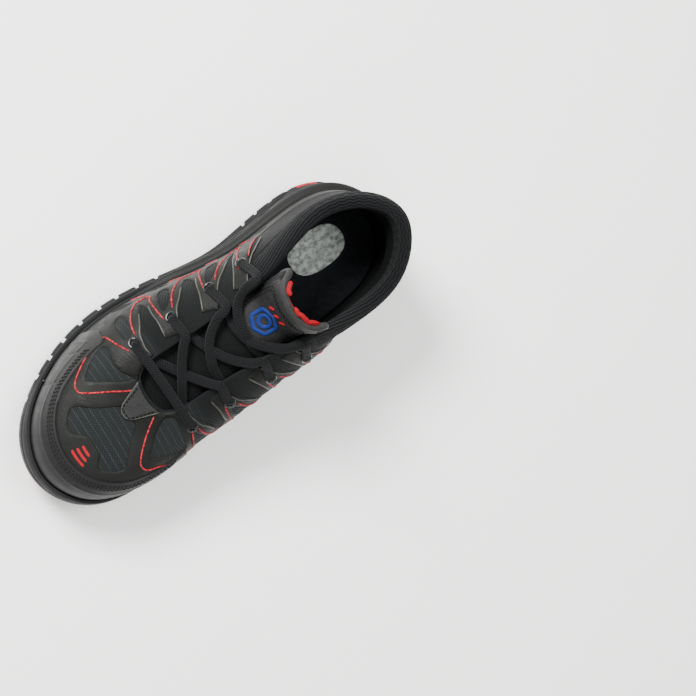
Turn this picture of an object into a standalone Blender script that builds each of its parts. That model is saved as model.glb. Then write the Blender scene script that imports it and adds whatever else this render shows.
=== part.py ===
"""Low safety sneaker for the right foot, standing empty on its sole.

+X points to the toe, +Y to the inner side of the foot, +Z up. The floor is z = 0 and the origin lies
under the middle of the shoe. Every piece follows one surface, the outside of the upper on its last.
"""

import math

import bmesh
import bpy
import numpy as np

# Driving sizes of the last and the shoe, in metres
SHOE_LENGTH = 0.300
BALL_WIDTH = 0.108
INSTEP_HEIGHT = 0.100
HEEL_STACK = 0.022
TOE_SPRING = 0.013
ARCH_RISE = 0.007
HEEL_BEVEL = 0.004

# Walls, clearances and strips, in metres
CLEARANCE = 0.0003
UPPER_WALL = 0.0024
COLLAR_PAD = 0.0095
MIDSOLE_LIP = 0.0022
LIP_HEIGHT = 0.014
RUBBER_WALL = 0.0026
RUBBER_FLOOR = 0.0045
RUBBER_HEIGHT = 0.030
TOE_CAP_WALL = 0.0017
INSOLE_THICKNESS = 0.004
PATCH_WALL = 0.0014
PATCH_LENGTH = 0.018
PATCH_HALF_WIDTH = 0.0105
PATCH_TIP = 0.776
EYELET_BARREL = 0.0026
EYELET_RADIUS = 0.0040
EYELET_HOLE = 0.0021
EYELET_HEIGHT = 0.0011
LACE_WIDTH = 0.0056
LACE_THICKNESS = 0.0032
TONGUE_THICKNESS = 0.0050
TONGUE_LAP = 0.011
TONGUE_DEPTH = 0.0046
TONGUE_STAND = 0.035
TONGUE_ROOT = 0.745
TONGUE_MOUTH = 0.665
TONGUE_RISE = 0.448
TONGUE_HALF_WIDTH = 0.022
TONGUE_BOW = 0.015
LUG_DEPTH = 0.0035
LUG_GROOVE = 0.0036
NOTCH_DEPTH = 0.0024
NOTCH_HEIGHT = 0.0085
LUG_SWEEP = 0.008
INSERT_HALF_WIDTH = 0.013
INSERT_HEIGHT = 0.020
INSERT_DEPTH = 0.020
HEEL_INSERT_START = 0.0025
HEEL_INSERT_LENGTH = 0.014
CUTTER_ROOM = 0.010

# One row for each section round the shoe, from the toe tip along the outer side to the heel and back
# along the inner side.
# along, across: bottom edge of the upper, as shares of SHOE_LENGTH from the heel and of BALL_WIDTH.
# stack: height of that edge over the ground, as a share of HEEL_STACK.
# top_along, top_across, top_height: edge of the throat and collar, the last as a share of INSTEP_HEIGHT.
# lean, rise: degrees outwards and pull of the wall at the bottom. slope, reach: degrees down and pull of
# the wall at the opening. Pulls are shares of the distance between the two edges.
# pad: share of the collar's padding. lip: share of LIP_HEIGHT. rubber: share of RUBBER_HEIGHT.
# heel: 0 with the forefoot's sole side and 1 with the heel's.
COLUMNS = (
    "along", "across", "stack", "top_along", "top_across", "top_height",
    "lean", "rise", "slope", "reach", "pad", "lip", "rubber", "heel",
)
SECTIONS = {
    "toe tip": (0.968, 0.085, 0.42, 0.713, 0.005, 0.660, 6, 0.46, 10, 0.62, 0, 0.22, 0.87, 0),
    "toe outer": (0.945, -0.150, 0.42, 0.710, -0.075, 0.660, 6, 0.46, 11, 0.60, 0, 0.22, 0.86, 0),
    "toe corner outer": (0.880, -0.305, 0.42, 0.697, -0.137, 0.668, 6, 0.46, 13, 0.54, 0, 0.22, 0.60, 0),
    "little toe": (0.790, -0.415, 0.42, 0.657, -0.172, 0.700, 5, 0.46, 18, 0.46, 0, 0.22, 0.40, 0),
    "ball outer": (0.685, -0.470, 0.42, 0.593, -0.176, 0.765, 4, 0.46, 22, 0.44, 0, 0.24, 0.40, 0),
    "ball outer rear": (0.575, -0.455, 0.47, 0.522, -0.180, 0.845, 3, 0.48, 26, 0.42, 0, 0.32, 0.42, 0),
    "waist outer": (0.460, -0.395, 0.60, 0.445, -0.192, 0.935, 3, 0.48, 32, 0.40, 0, 0.48, 0.46, 0.1),
    "shank outer": (0.345, -0.360, 0.78, 0.358, -0.250, 0.975, 2, 0.46, 48, 0.36, 0.5, 0.66, 0.54, 0.5),
    "heel outer": (0.205, -0.385, 0.95, 0.215, -0.350, 0.810, 2, 0.35, 86, 0.34, 1, 0.86, 0.76, 1),
    "heel corner outer": (0.085, -0.318, 1.00, 0.098, -0.275, 0.880, 3, 0.35, 88, 0.34, 1, 0.98, 0.96, 1),
    "heel back": (0.030, 0.000, 1.00, 0.043, 0.000, 0.970, 5, 0.35, 88, 0.36, 1, 1.04, 1.00, 1),
    "heel corner inner": (0.085, 0.245, 1.00, 0.098, 0.258, 0.885, 3, 0.35, 88, 0.34, 1, 0.98, 0.96, 1),
    "heel inner": (0.205, 0.338, 0.95, 0.215, 0.352, 0.825, 6, 0.35, 86, 0.34, 1, 0.86, 0.76, 1),
    "arch rear": (0.345, 0.345, 0.80, 0.358, 0.262, 0.985, 13, 0.44, 48, 0.36, 0.5, 0.68, 0.54, 0.5),
    "arch": (0.460, 0.346, 0.64, 0.445, 0.200, 0.942, 16, 0.48, 32, 0.40, 0, 0.50, 0.46, 0.1),
    "ball inner rear": (0.575, 0.402, 0.47, 0.522, 0.184, 0.850, 11, 0.48, 26, 0.42, 0, 0.32, 0.42, 0),
    "ball inner": (0.685, 0.435, 0.42, 0.593, 0.176, 0.768, 5, 0.46, 22, 0.44, 0, 0.24, 0.40, 0),
    "big toe": (0.790, 0.450, 0.42, 0.657, 0.172, 0.702, 5, 0.46, 18, 0.46, 0, 0.22, 0.40, 0),
    "toe corner inner": (0.880, 0.395, 0.42, 0.697, 0.137, 0.670, 6, 0.46, 13, 0.54, 0, 0.22, 0.60, 0),
    "toe inner": (0.940, 0.270, 0.42, 0.710, 0.080, 0.661, 6, 0.46, 11, 0.60, 0, 0.22, 0.86, 0),
}
NAMES = list(SECTIONS)

# Side of the rubber sole, from the ground edge to its top: share of the height, metres outwards at the
# forefoot and metres outwards at the heel
SOLE_SIDE = (
    (0.00, -0.0012, -0.0012),
    (0.10, 0.0008, 0.0022),
    (0.32, 0.0018, 0.0034),
    (0.58, 0.0014, 0.0004),
    (0.86, 0.0006, 0.0014),
    (1.00, -0.0006, 0.0002),
)

# Height of the toe cap's upper edge, as a share of the wall from the bottom edge to the throat
CAP_LINE = (
    ("toe tip", 0.0, 0.46),
    ("toe outer", 0.0, 0.46),
    ("toe corner outer", 0.0, 0.46),
    ("little toe", 0.0, 0.50),
    ("ball outer", -0.62, 0.53),
    ("ball outer", -0.34, 0.38),
)

# Eyelets from the vamp up: share of SHOE_LENGTH from the heel and of BALL_WIDTH off the middle
EYELETS = ((0.670, 0.300), (0.578, 0.305), (0.480, 0.322), (0.396, 0.338))

# Rounded rim of the upper's opening: shares of its thickness inwards and over the edge
RIM = ((0.16, 0.26), (0.50, 0.40), (0.84, 0.26))

# Free end of the tongue: share of its length, share of its own bow, degrees bent up, share of its width
TONGUE_END = (
    (0.16, 0.45, 20, 0.93),
    (0.36, 0.85, 42, 0.95),
    (0.62, 1.00, 56, 1.00),
    (0.84, 1.00, 60, 1.03),
    (0.95, 1.00, 60, 1.00),
    (1.00, 1.00, 60, 0.93),
)

# Soft sizes of the meshes
AROUND = 60
WALL_ROWS = 8
EYELET_SIDES = 10
LACE_SIDES = 8

# Gaps between the side lugs, as shares of SHOE_LENGTH from the heel
LUG_GAPS = (0.150, 0.192, 0.234, 0.272, 0.513, 0.560, 0.610, 0.655, 0.705, 0.755, 0.800, 0.845, 0.890)

# Shares of SHOE_LENGTH where the sole meets the floor
HEEL_FLAT = (0.07, 0.30)
BALL_FLAT = (0.50, 0.72)


def closed_spline(knots, values, period=1.0):
    """Smooth closed curve through values at knots, as a function of a number or an array."""
    count = len(knots)
    steps = np.diff(np.append(knots, knots[0] + period))
    matrix = np.zeros((count, count))
    right = np.zeros(count)
    for i in range(count):
        before = steps[i - 1]
        after = steps[i]
        matrix[i, i - 1] += before
        matrix[i, i] += 2 * (before + after)
        matrix[i, (i + 1) % count] += after
        rise_after = (values[(i + 1) % count] - values[i]) / after
        rise_before = (values[i] - values[i - 1]) / before
        right[i] = 6 * (rise_after - rise_before)
    bend = np.linalg.solve(matrix, right)

    def at(u):
        u = (np.asarray(u, float) - knots[0]) % period + knots[0]
        i = np.clip(np.searchsorted(knots, u, side="right") - 1, 0, count - 1)
        j = (i + 1) % count
        h = steps[i]
        a = (knots[i] + h - u) / h
        b = 1 - a
        curve = (a**3 - a) * bend[i] + (b**3 - b) * bend[j]
        return a * values[i] + b * values[j] + curve * h * h / 6

    return at


def smooth_step(x):
    x = np.clip(x, 0, 1)
    return x * x * (3 - 2 * x)


def unit(v):
    return v / np.maximum(np.linalg.norm(v, axis=-1, keepdims=True), 1e-12)


TABLE = dict(zip(COLUMNS, np.array(list(SECTIONS.values()), float).T))
EDGE = np.column_stack((TABLE["along"] * SHOE_LENGTH, TABLE["across"] * BALL_WIDTH))
CHORDS = np.linalg.norm(np.roll(EDGE, -1, axis=0) - EDGE, axis=1)
KNOTS = np.concatenate(([0], np.cumsum(CHORDS)[:-1])) / CHORDS.sum()
CURVES = {name: closed_spline(KNOTS, column) for name, column in TABLE.items()}


def column(name, u):
    return CURVES[name](u)


def section_at(name, ahead=0.0):
    """Place round the shoe of a named section, or a share of the way on to the next one."""
    i = NAMES.index(name)
    knots = np.append(KNOTS, 1.0)
    step = knots[i + 1] - knots[i] if ahead >= 0 else knots[i] - knots[i - 1]
    return knots[i] + ahead * step


def edge_plan(u):
    """Bottom edge of the upper in plan."""
    x = column("along", u) * SHOE_LENGTH - SHOE_LENGTH / 2
    return np.stack((x, column("across", u) * BALL_WIDTH), axis=-1)


def outward(u):
    """Level direction out of the shoe."""
    step = 2e-3
    run = edge_plan(u + step) - edge_plan(u - step)
    return unit(np.stack((-run[..., 1], run[..., 0]), axis=-1))


def spring(x):
    """Rise of the whole toe over the ground."""
    share = x / SHOE_LENGTH + 0.5
    return TOE_SPRING * np.clip((share - BALL_FLAT[1]) / (1 - BALL_FLAT[1]), 0, 1.1) ** 1.6


def ground(x):
    """Underside of the sole: flat at heel and ball, raised at the arch, toe and back of the heel."""
    share = x / SHOE_LENGTH + 0.5
    arch = np.clip((share - HEEL_FLAT[1]) / (BALL_FLAT[0] - HEEL_FLAT[1]), 0, 1)
    back = np.clip((HEEL_FLAT[0] - share) / HEEL_FLAT[0], 0, 1.2)
    return spring(x) + ARCH_RISE * np.sin(math.pi * arch) ** 2 + HEEL_BEVEL * back**1.5


def seat(u):
    """Height of the upper's bottom edge."""
    return spring(edge_plan(u)[..., 0]) + column("stack", u) * HEEL_STACK


def wall(u, v):
    """Outside of the upper at place u round the shoe and share v from bottom edge to opening."""
    plan = edge_plan(u)
    low = np.concatenate((plan, seat(u)[..., None]), axis=-1)
    high = np.stack(
        (
            column("top_along", u) * SHOE_LENGTH - SHOE_LENGTH / 2,
            column("top_across", u) * BALL_WIDTH,
            column("top_height", u) * INSTEP_HEIGHT,
        ),
        axis=-1,
    )
    out = outward(u)
    span = np.linalg.norm(high - low, axis=-1)
    lean = np.radians(column("lean", u))
    slope = np.radians(column("slope", u))
    fan = unit((low - high)[..., :2] + out * BALL_WIDTH * 0.28)
    up = np.concatenate((out * np.sin(lean)[..., None], np.cos(lean)[..., None]), axis=-1)
    down = np.concatenate((fan * np.cos(slope)[..., None], -np.sin(slope)[..., None]), axis=-1)
    near_low = low + up * (column("rise", u) * span)[..., None]
    near_high = high + down * (column("reach", u) * span)[..., None]
    v = np.asarray(v, float)[..., None]
    w = 1 - v
    return w**3 * low + 3 * w * w * v * near_low + 3 * w * v * v * near_high + v**3 * high


def wall_normal(u, v):
    """Outward normal of the upper's outside."""
    u, v = np.broadcast_arrays(np.asarray(u, float), np.asarray(v, float))
    step = 1e-3
    around = wall(u + step, v) - wall(u - step, v)
    low = np.clip(v - step, 0, 1)
    up = wall(u, low + 2 * step) - wall(u, low)
    return unit(np.cross(up, around))


def on_wall(u, v, out):
    """Point at a distance out of the upper's outside, or inside it where out is negative."""
    u, v = np.broadcast_arrays(np.asarray(u, float), np.asarray(v, float))
    return wall(u, v) + wall_normal(u, v) * np.asarray(out, float)[..., None]


def share_at_height(u, z):
    """Share v at which the upper's wall reaches height z."""
    tries = np.linspace(0, 0.7, 60)
    shares = np.empty(np.shape(u))
    for i, (place, height) in enumerate(zip(u, z)):
        shares[i] = np.interp(height, wall(np.full(60, place), tries)[:, 2], tries)
    return shares


def share_from_top(u, distance):
    """Share v at a distance below the opening, measured along the wall."""
    tries = np.linspace(1, 0, 80)
    shares = np.empty(np.shape(u))
    for i, place in enumerate(u):
        points = wall(np.full(80, place), tries)
        run = np.append(0, np.cumsum(np.linalg.norm(np.diff(points, axis=0), axis=1)))
        shares[i] = np.interp(np.broadcast_to(distance, np.shape(u))[i], run, tries)
    return shares


def side_point(u, z, out):
    """Point of the sole's side: level with z, out of the upper's wall or of its bottom edge's plan."""
    share = share_at_height(u, np.maximum(z, seat(u)))
    level = outward(u)
    facing = np.sum(wall_normal(u, share)[..., :2] * level, axis=-1).clip(0.55, 1)
    stand = np.broadcast_to(out, np.shape(u)) / facing
    plan = wall(u, share)[..., :2] + level * stand[..., None]
    return np.concatenate((plan, np.asarray(z)[..., None]), axis=-1)


def lip_line(u):
    """Top of the midsole's lip round the upper."""
    return seat(u) + column("lip", u) * LIP_HEIGHT


def rubber_line(u):
    """Top of the rubber sole's side."""
    x = edge_plan(u)[..., 0]
    floor = ground(x) + RUBBER_FLOOR + 0.0012
    return np.maximum(spring(x) + column("rubber", u) * RUBBER_HEIGHT, floor)


def make_object(name, points, faces, material, smooth_angle=40):
    mesh = bpy.data.meshes.new(name)
    mesh.from_pydata([tuple(map(float, p)) for p in points], [], [tuple(map(int, f)) for f in faces])
    obj = bpy.data.objects.new(name, mesh)
    bpy.context.scene.collection.objects.link(obj)
    face_out(mesh)
    mesh.materials.append(material)
    mesh.shade_smooth()
    mesh.set_sharp_from_angle(angle=math.radians(smooth_angle))
    return obj


def face_out(mesh):
    """Turns all faces of a closed mesh to point out of it."""
    bm = bmesh.new()
    bm.from_mesh(mesh)
    bmesh.ops.triangulate(bm, faces=bm.faces)
    bmesh.ops.recalc_face_normals(bm, faces=bm.faces)
    if bm.calc_volume(signed=True) < 0:
        bmesh.ops.reverse_faces(bm, faces=bm.faces)
    bm.to_mesh(mesh)
    bm.free()


def finish_material(name, colour, roughness, metallic=0.0):
    material = bpy.data.materials.new(name)
    material.use_nodes = True
    shader = material.node_tree.nodes["Principled BSDF"]
    shader.inputs["Base Color"].default_value = (*colour, 1)
    shader.inputs["Roughness"].default_value = roughness
    shader.inputs["Metallic"].default_value = metallic
    material.diffuse_color = (*colour, 1)
    return material


def ring_faces(rings, count, closed_rings=False):
    """Quads between neighbouring rings of count points each."""
    faces = []
    for r in range(rings if closed_rings else rings - 1):
        a = r * count
        b = (r + 1) % rings * count
        for i in range(count):
            j = (i + 1) % count
            faces.append((a + i, a + j, b + j, b + i))
    return faces


def cross_faces(first, count):
    """Closes a ring that starts at the toe with strips from its outer to its inner side."""
    faces = []
    half = count // 2
    for i in range(half):
        left = (first + i, first + i + 1)
        right = (first + (count - i - 1), first + (count - i) % count)
        face = []
        for corner in (*left, *right):
            if corner not in face:
                face.append(corner)
        faces.append(tuple(face))
    return faces


def around_places(count=AROUND):
    """Places round the shoe: the same number on each side, meeting at the toe tip and heel back."""
    half = count // 2
    heel = section_at("heel back")
    outer = np.linspace(0, heel, half, endpoint=False)
    inner = np.linspace(heel, 1, half, endpoint=False)
    return np.concatenate((outer, inner))


def stacked(name, rings, material, angle=40):
    """Solid with a stack of rings round the shoe, closed across at its first and last ring."""
    count = len(rings[0])
    faces = ring_faces(len(rings), count)
    faces += cross_faces(0, count)
    faces += cross_faces((len(rings) - 1) * count, count)
    return make_object(name, np.concatenate(rings), faces, material, angle)


def wall_thickness(u, v):
    """Thickness of the upper: its cloth, and the foam of the collar near the opening."""
    padded = column("pad", u).clip(0, 1) * smooth_step((v - 0.30) / 0.40)
    return UPPER_WALL + (COLLAR_PAD - UPPER_WALL) * padded


def make_upper(material):
    """Hollow upper, open at throat and collar and underneath."""
    u = around_places()
    rows = np.linspace(0, 1, WALL_ROWS + 1)
    rings = [wall(u, np.full_like(u, v)) for v in rows]
    top = wall_thickness(u, np.ones_like(u))
    over = unit(wall(u, np.ones_like(u)) - wall(u, np.full_like(u, 0.97)))
    for depth, height in RIM:
        rings.append(on_wall(u, np.ones_like(u), -top * depth) + over * (top * height)[:, None])
    for v in rows[::-1]:
        rings.append(on_wall(u, np.full_like(u, v), -wall_thickness(u, v)))
    rings[-1][:, 2] = rings[0][:, 2]
    faces = ring_faces(len(rings), len(u), closed_rings=True)
    return make_object("upper", np.concatenate(rings), faces, material)


def make_insole(material):
    """Footbed inside the upper, over the midsole."""
    u = around_places()
    inset = -(UPPER_WALL + 2 * CLEARANCE)
    low = seat(u)
    rings = []
    for height, back in ((0, 0), (INSOLE_THICKNESS * 0.6, 0), (INSOLE_THICKNESS, 0.0012)):
        plan = edge_plan(u) + outward(u) * (inset - back)
        rings.append(np.concatenate((plan, (low + height)[:, None]), axis=-1))
    return stacked("insole", rings, material)


def make_midsole(material):
    """Foam midsole: a cup for the upper, with the strap-like wall that rises to the heel."""
    u = around_places()
    x = edge_plan(u)[:, 0]
    step = rubber_line(u) + CLEARANCE
    line = lip_line(u)
    shown = smooth_step((line - step - 0.0012) / 0.004)
    over = shown * (RUBBER_WALL + 0.0004)
    low = ground(x) + RUBBER_FLOOR + CLEARANCE
    step = np.minimum(step, line - 0.0016)
    top_step = step + 0.0006
    middle = (top_step + line) / 2
    hug = MIDSOLE_LIP
    rings = [
        side_point(u, low, hug - 0.001),
        side_point(u, step, hug),
        side_point(u, top_step, hug + over),
        side_point(u, middle, hug + over * 1.25),
        side_point(u, line - 0.0004, hug + over * 0.35),
        side_point(u, line, hug * 0.55 + over * 0.15),
        side_point(u, line, CLEARANCE),
        side_point(u, (line + seat(u)) / 2, CLEARANCE),
        side_point(u, seat(u) - CLEARANCE, CLEARANCE),
    ]
    return stacked("midsole", rings, material, 30)


def sole_rings(u):
    """Rings of the rubber sole: outer side, top of the side, inner side and floor."""
    x = edge_plan(u)[:, 0]
    low = ground(x)
    line = rubber_line(u)
    hug = MIDSOLE_LIP + CLEARANCE
    blend = smooth_step(column("heel", u))
    rings = []
    for share, fore, heel in SOLE_SIDE:
        out = hug + RUBBER_WALL + fore * (1 - blend) + heel * blend
        rings.append(side_point(u, low + (line - low) * share, out))
    rings.append(side_point(u, line, hug + 0.0002))
    rings.append(side_point(u, (line + low + RUBBER_FLOOR) / 2, hug + 0.0001))
    rings.append(side_point(u, low + RUBBER_FLOOR, hug))
    return rings


def make_box(name, low, high, turn=0.0):
    """Helper block between two corners, turned about its own centre."""
    low = np.array(low, float)
    high = np.array(high, float)
    centre = (low + high) / 2
    half = (high - low) / 2
    corners = [
        centre + half * np.array((a, b, c)) for c in (-1, 1) for a, b in ((-1, -1), (1, -1), (1, 1), (-1, 1))
    ]
    c, s = math.cos(turn), math.sin(turn)
    spun = []
    for p in corners:
        d = p - centre
        spun.append(centre + np.array((c * d[0] - s * d[1], s * d[0] + c * d[1], d[2])))
    faces = [(0, 3, 2, 1), (4, 5, 6, 7), (0, 1, 5, 4), (1, 2, 6, 5), (2, 3, 7, 6), (3, 0, 4, 7)]
    return spun, faces


def make_cutter(name, blocks):
    """One hidden helper object from several separate blocks."""
    points = []
    faces = []
    for block, block_faces in blocks:
        faces += [tuple(i + len(points) for i in f) for f in block_faces]
        points += list(block)
    mesh = bpy.data.meshes.new(name)
    mesh.from_pydata([tuple(map(float, p)) for p in points], [], faces)
    obj = bpy.data.objects.new(name, mesh)
    bpy.context.scene.collection.objects.link(obj)
    bm = bmesh.new()
    bm.from_mesh(mesh)
    bmesh.ops.recalc_face_normals(bm, faces=bm.faces)
    bm.to_mesh(mesh)
    bm.free()
    obj.hide_render = True
    obj.display_type = "WIRE"
    return obj


def combine(obj, helper, operation="DIFFERENCE"):
    modifier = obj.modifiers.new(helper.name, "BOOLEAN")
    modifier.operation = operation
    modifier.solver = "EXACT"
    modifier.object = helper
    return modifier


def chevron(x, sweep, width, half, low, high):
    """Prism of a V across the sole, its point towards the toe."""
    outline = [
        (x - sweep - width / 2, -half), (x - width / 2, 0), (x - sweep - width / 2, half),
        (x - sweep + width / 2, half), (x + width / 2, 0), (x - sweep + width / 2, -half),
    ]
    points = [np.array((a, b, c)) for c in (low, high) for a, b in outline]
    n = len(outline)
    faces = [(i, (i + 1) % n, n + (i + 1) % n, n + i) for i in range(n)]
    faces += [(0, 1, 4, 5), (1, 2, 3, 4), (n, n + 1, n + 4, n + 5), (n + 1, n + 2, n + 3, n + 4)]
    return points, faces


def side_place(share, inner):
    """Place round the shoe where the bottom edge passes a share of SHOE_LENGTH."""
    heel = section_at("heel back")
    tries = np.linspace(heel, 1, 300) if inner else np.linspace(0, heel, 300)
    along = edge_plan(tries)[:, 0] / SHOE_LENGTH + 0.5
    order = np.argsort(along)
    return float(np.interp(share, along[order], tries[order]))


def side_notches():
    """Notches in the edge of the sole between its side lugs, on both sides."""
    blocks = []
    for share in LUG_GAPS:
        for inner in (False, True):
            u = np.array([side_place(share, inner)])
            base = float(ground(edge_plan(u)[:, 0])[0])
            hug = MIDSOLE_LIP + CLEARANCE + RUBBER_WALL
            middle = (CUTTER_ROOM - NOTCH_DEPTH) / 2
            centre = side_point(u, np.array([base + NOTCH_HEIGHT]), hug + middle)[0]
            out = outward(u)[0]
            half = np.array(((CUTTER_ROOM + NOTCH_DEPTH) / 2, LUG_GROOVE / 2, 0))
            low = centre - half
            high = centre + half
            low[2] = base - CUTTER_ROOM
            high[2] = base + NOTCH_HEIGHT
            blocks.append(make_box("notch", low, high, math.atan2(out[1], out[0])))
    return make_cutter("side_notches", blocks)


def lug_grooves():
    """Grooves across the sole between its lugs, each as deep as the ground there asks."""
    blocks = []
    for share in LUG_GAPS:
        x = (share + 0.02 - 0.5) * SHOE_LENGTH
        base = float(ground(np.array(x)))
        blocks.append(
            chevron(x, LUG_SWEEP, LUG_GROOVE, BALL_WIDTH * 0.62, base - CUTTER_ROOM, base + LUG_DEPTH)
        )
    return make_cutter("lug_grooves", blocks)


def length_grooves():
    """Two straight channels along the forefoot that part the middle lugs from the side lugs."""
    blocks = []
    for across in (-0.19, 0.19):
        y = across * BALL_WIDTH
        low = ((0.53 - 0.5) * SHOE_LENGTH, y - LUG_GROOVE / 2, -CUTTER_ROOM)
        high = ((0.90 - 0.5) * SHOE_LENGTH, y + LUG_GROOVE / 2, LUG_DEPTH * 0.8)
        blocks.append(make_box("channel", low, high))
    return make_cutter("length_grooves", blocks)


def insert_blocks():
    """Place of each coloured rubber insert: name, low corner, high corner, without its gap."""
    toe = edge_plan(np.array(0.0))
    heel_x = HEEL_FLAT[0] * SHOE_LENGTH - SHOE_LENGTH / 2
    blocks = {
        "toe_insert": (
            (toe[0] - INSERT_DEPTH, toe[1] - INSERT_HALF_WIDTH, 0.15 * TOE_SPRING),
            (toe[0] + CUTTER_ROOM, toe[1] + INSERT_HALF_WIDTH, TOE_SPRING + INSERT_HEIGHT),
        ),
    }
    for side, across in (("outer", -1), ("inner", 1)):
        y = sorted((across * BALL_WIDTH * 0.27, across * BALL_WIDTH * 0.60))
        blocks["heel_insert_" + side] = (
            (heel_x + HEEL_INSERT_START, y[0], -CUTTER_ROOM),
            (heel_x + HEEL_INSERT_START + HEEL_INSERT_LENGTH, y[1], 0.4 * RUBBER_HEIGHT),
        )
    return blocks


def make_outsole(material, insert_material):
    """Rubber sole with its lugs, toe bumper and pockets, and the coloured inserts in them."""
    u = around_places()
    rings = sole_rings(u)
    outsole = stacked("outsole", rings, material, 30)
    grooves = lug_grooves()
    channels = length_grooves()
    inserts = []
    pockets = []
    for name, (low, high) in insert_blocks().items():
        low = np.array(low)
        high = np.array(high)
        block = make_cutter(name + "_block", [make_box(name, low, high)])
        insert = stacked(name, rings, insert_material, 30)
        combine(insert, block, "INTERSECT")
        inserts.append(insert)
        pockets.append(make_box(name, low - CLEARANCE, high + CLEARANCE))
    combine(outsole, make_cutter("insert_pockets", pockets))
    combine(outsole, grooves)
    combine(outsole, channels)
    combine(outsole, side_notches())
    return outsole, inserts


def shell(name, u_grid, v_grid, inner, outer, material):
    """Plate that follows the upper between two distances out of it, on a grid of places."""
    rows, columns = u_grid.shape
    low = on_wall(u_grid, v_grid, np.full(u_grid.shape, inner)).reshape(-1, 3)
    high = on_wall(u_grid, v_grid, np.full(u_grid.shape, outer)).reshape(-1, 3)
    count = rows * columns
    faces = []
    for r in range(rows - 1):
        for c in range(columns - 1):
            a = r * columns + c
            quad = (a, a + 1, a + columns + 1, a + columns)
            faces.append(quad)
            faces.append(tuple(i + count for i in quad[::-1]))
    border = [c for c in range(columns)]
    border += [r * columns + columns - 1 for r in range(1, rows)]
    border += [(rows - 1) * columns + c for c in range(columns - 2, -1, -1)]
    border += [r * columns for r in range(rows - 2, 0, -1)]
    for i, j in zip(border, border[1:] + border[:1]):
        faces.append((i, j, j + count, i + count))
    return make_object(name, np.concatenate((low, high)), faces, material)


def cap_edge(u):
    """Share of the wall that the toe cap covers at place u near the toe."""
    places = [section_at(name, ahead) for name, ahead, _ in CAP_LINE]
    heights = [height for *_, height in CAP_LINE]
    inner_places = [-(section_at(mirror_name(name), 0) - 1) for name, *_ in CAP_LINE[1:4]]
    outer = np.interp(np.abs(u), places, heights)
    inner_end = 1 - section_at("ball inner", 0.34)
    inner_knots = [0, *inner_places, inner_end - 0.012, inner_end]
    inner = np.interp(np.abs(u), inner_knots, heights)
    return np.where(u >= 0, outer, inner)


def mirror_name(name):
    pairs = {
        "toe outer": "toe inner",
        "toe corner outer": "toe corner inner",
        "little toe": "big toe",
        "ball outer": "ball inner",
    }
    return pairs[name]


def make_toe_cap(material):
    """Moulded toe cap over the front of the upper, from the sole's edge to its own line."""
    start = section_at("ball inner", 0.34) - 1
    end = section_at("ball outer", -0.34)
    rows = 8
    u = around_places()
    u = np.sort(np.where(u > 0.5, u - 1, u))
    u = u[(u > start + 0.004) & (u < end - 0.004)]
    u = np.concatenate(([start], u, [end]))
    bottom = share_at_height(u, lip_line(u) + 2 * CLEARANCE)
    top = cap_edge(u)
    share = np.linspace(0, 1, rows)[:, None]
    v_grid = bottom * (1 - share) + top * share
    u_grid = np.broadcast_to(u, v_grid.shape).copy()
    return shell("toe_cap", u_grid, v_grid, CLEARANCE, CLEARANCE + TOE_CAP_WALL, material)


def make_throat_patch(material):
    """Small three-cornered patch at the foot of the throat, its point towards the toe."""
    rows = 6
    columns = 7
    u_grid = np.empty((rows, columns))
    v_grid = np.empty((rows, columns))
    for r, share in enumerate(np.linspace(0, 1, rows)):
        for c, side in enumerate(np.linspace(-1, 1, columns)):
            half = PATCH_HALF_WIDTH * (0.12 + 0.88 * share)
            bow = 0.0022 * share * side * side
            x = (PATCH_TIP - 0.5) * SHOE_LENGTH - PATCH_LENGTH * share - bow
            u_grid[r, c], v_grid[r, c] = spot_on_top(x, 0.0006 + side * half, -side * 0.01, 0.92)
    return shell("throat_patch", u_grid, v_grid, CLEARANCE, CLEARANCE + PATCH_WALL, material)


def throat_place(share, inner):
    """Place round the shoe where the throat's edge passes a share of SHOE_LENGTH."""
    if inner:
        tries = np.linspace(section_at("toe inner"), section_at("arch rear"), 200)
    else:
        tries = np.linspace(section_at("toe outer"), section_at("shank outer"), 200)
    along = column("top_along", tries)
    return float(np.interp(-share, -along, tries))


def spot_on_top(x, y, u, v=0.85):
    """Place and share of the upper whose plan point is x, y, found by steps from a first guess."""
    step = 1e-4
    for _ in range(30):
        here = wall(np.array([u, u + step, u]), np.array([v, v, v + step]))[:, :2]
        slope = np.column_stack(((here[1] - here[0]) / step, (here[2] - here[0]) / step))
        move = np.linalg.solve(slope, np.array((x, y)) - here[0])
        u += float(np.clip(move[0], -0.02, 0.02))
        v = float(np.clip(v + np.clip(move[1], -0.1, 0.1), 0.02, 0.995))
    return u, v


def eyelet_spots():
    """Centre and outward normal of each eyelet on the upper, outer side first."""
    spots = {}
    for side, sign in (("outer", -1), ("inner", 1)):
        for number, (along, across) in enumerate(EYELETS, 1):
            start = throat_place(along, side == "inner")
            x = (along - 0.5) * SHOE_LENGTH
            u, v = spot_on_top(x, sign * across * BALL_WIDTH, start)
            u, v = np.array([u]), np.array([v])
            spots[side, number] = (wall(u, v)[0], wall_normal(u, v)[0])
    return spots


def frame_of(normal):
    side = unit(np.cross(normal, (0.0, 1.0, 0.2)))
    return side, np.cross(normal, side)


def turned(centre, normal, profile, sides, closed):
    """Rings and faces of a turned body: radius and height pairs about a normal."""
    first, second = frame_of(normal)
    turns = np.linspace(0, 2 * math.pi, sides, endpoint=False)
    circle = np.cos(turns)[:, None] * first + np.sin(turns)[:, None] * second
    rings = [centre + normal * height + radius * circle for radius, height in profile]
    faces = ring_faces(len(rings), sides, closed_rings=closed)
    if not closed:
        last = (len(rings) - 1) * sides
        faces.append(tuple(range(sides))[::-1])
        faces.append(tuple(range(last, last + sides)))
    return np.concatenate(rings), faces


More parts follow.
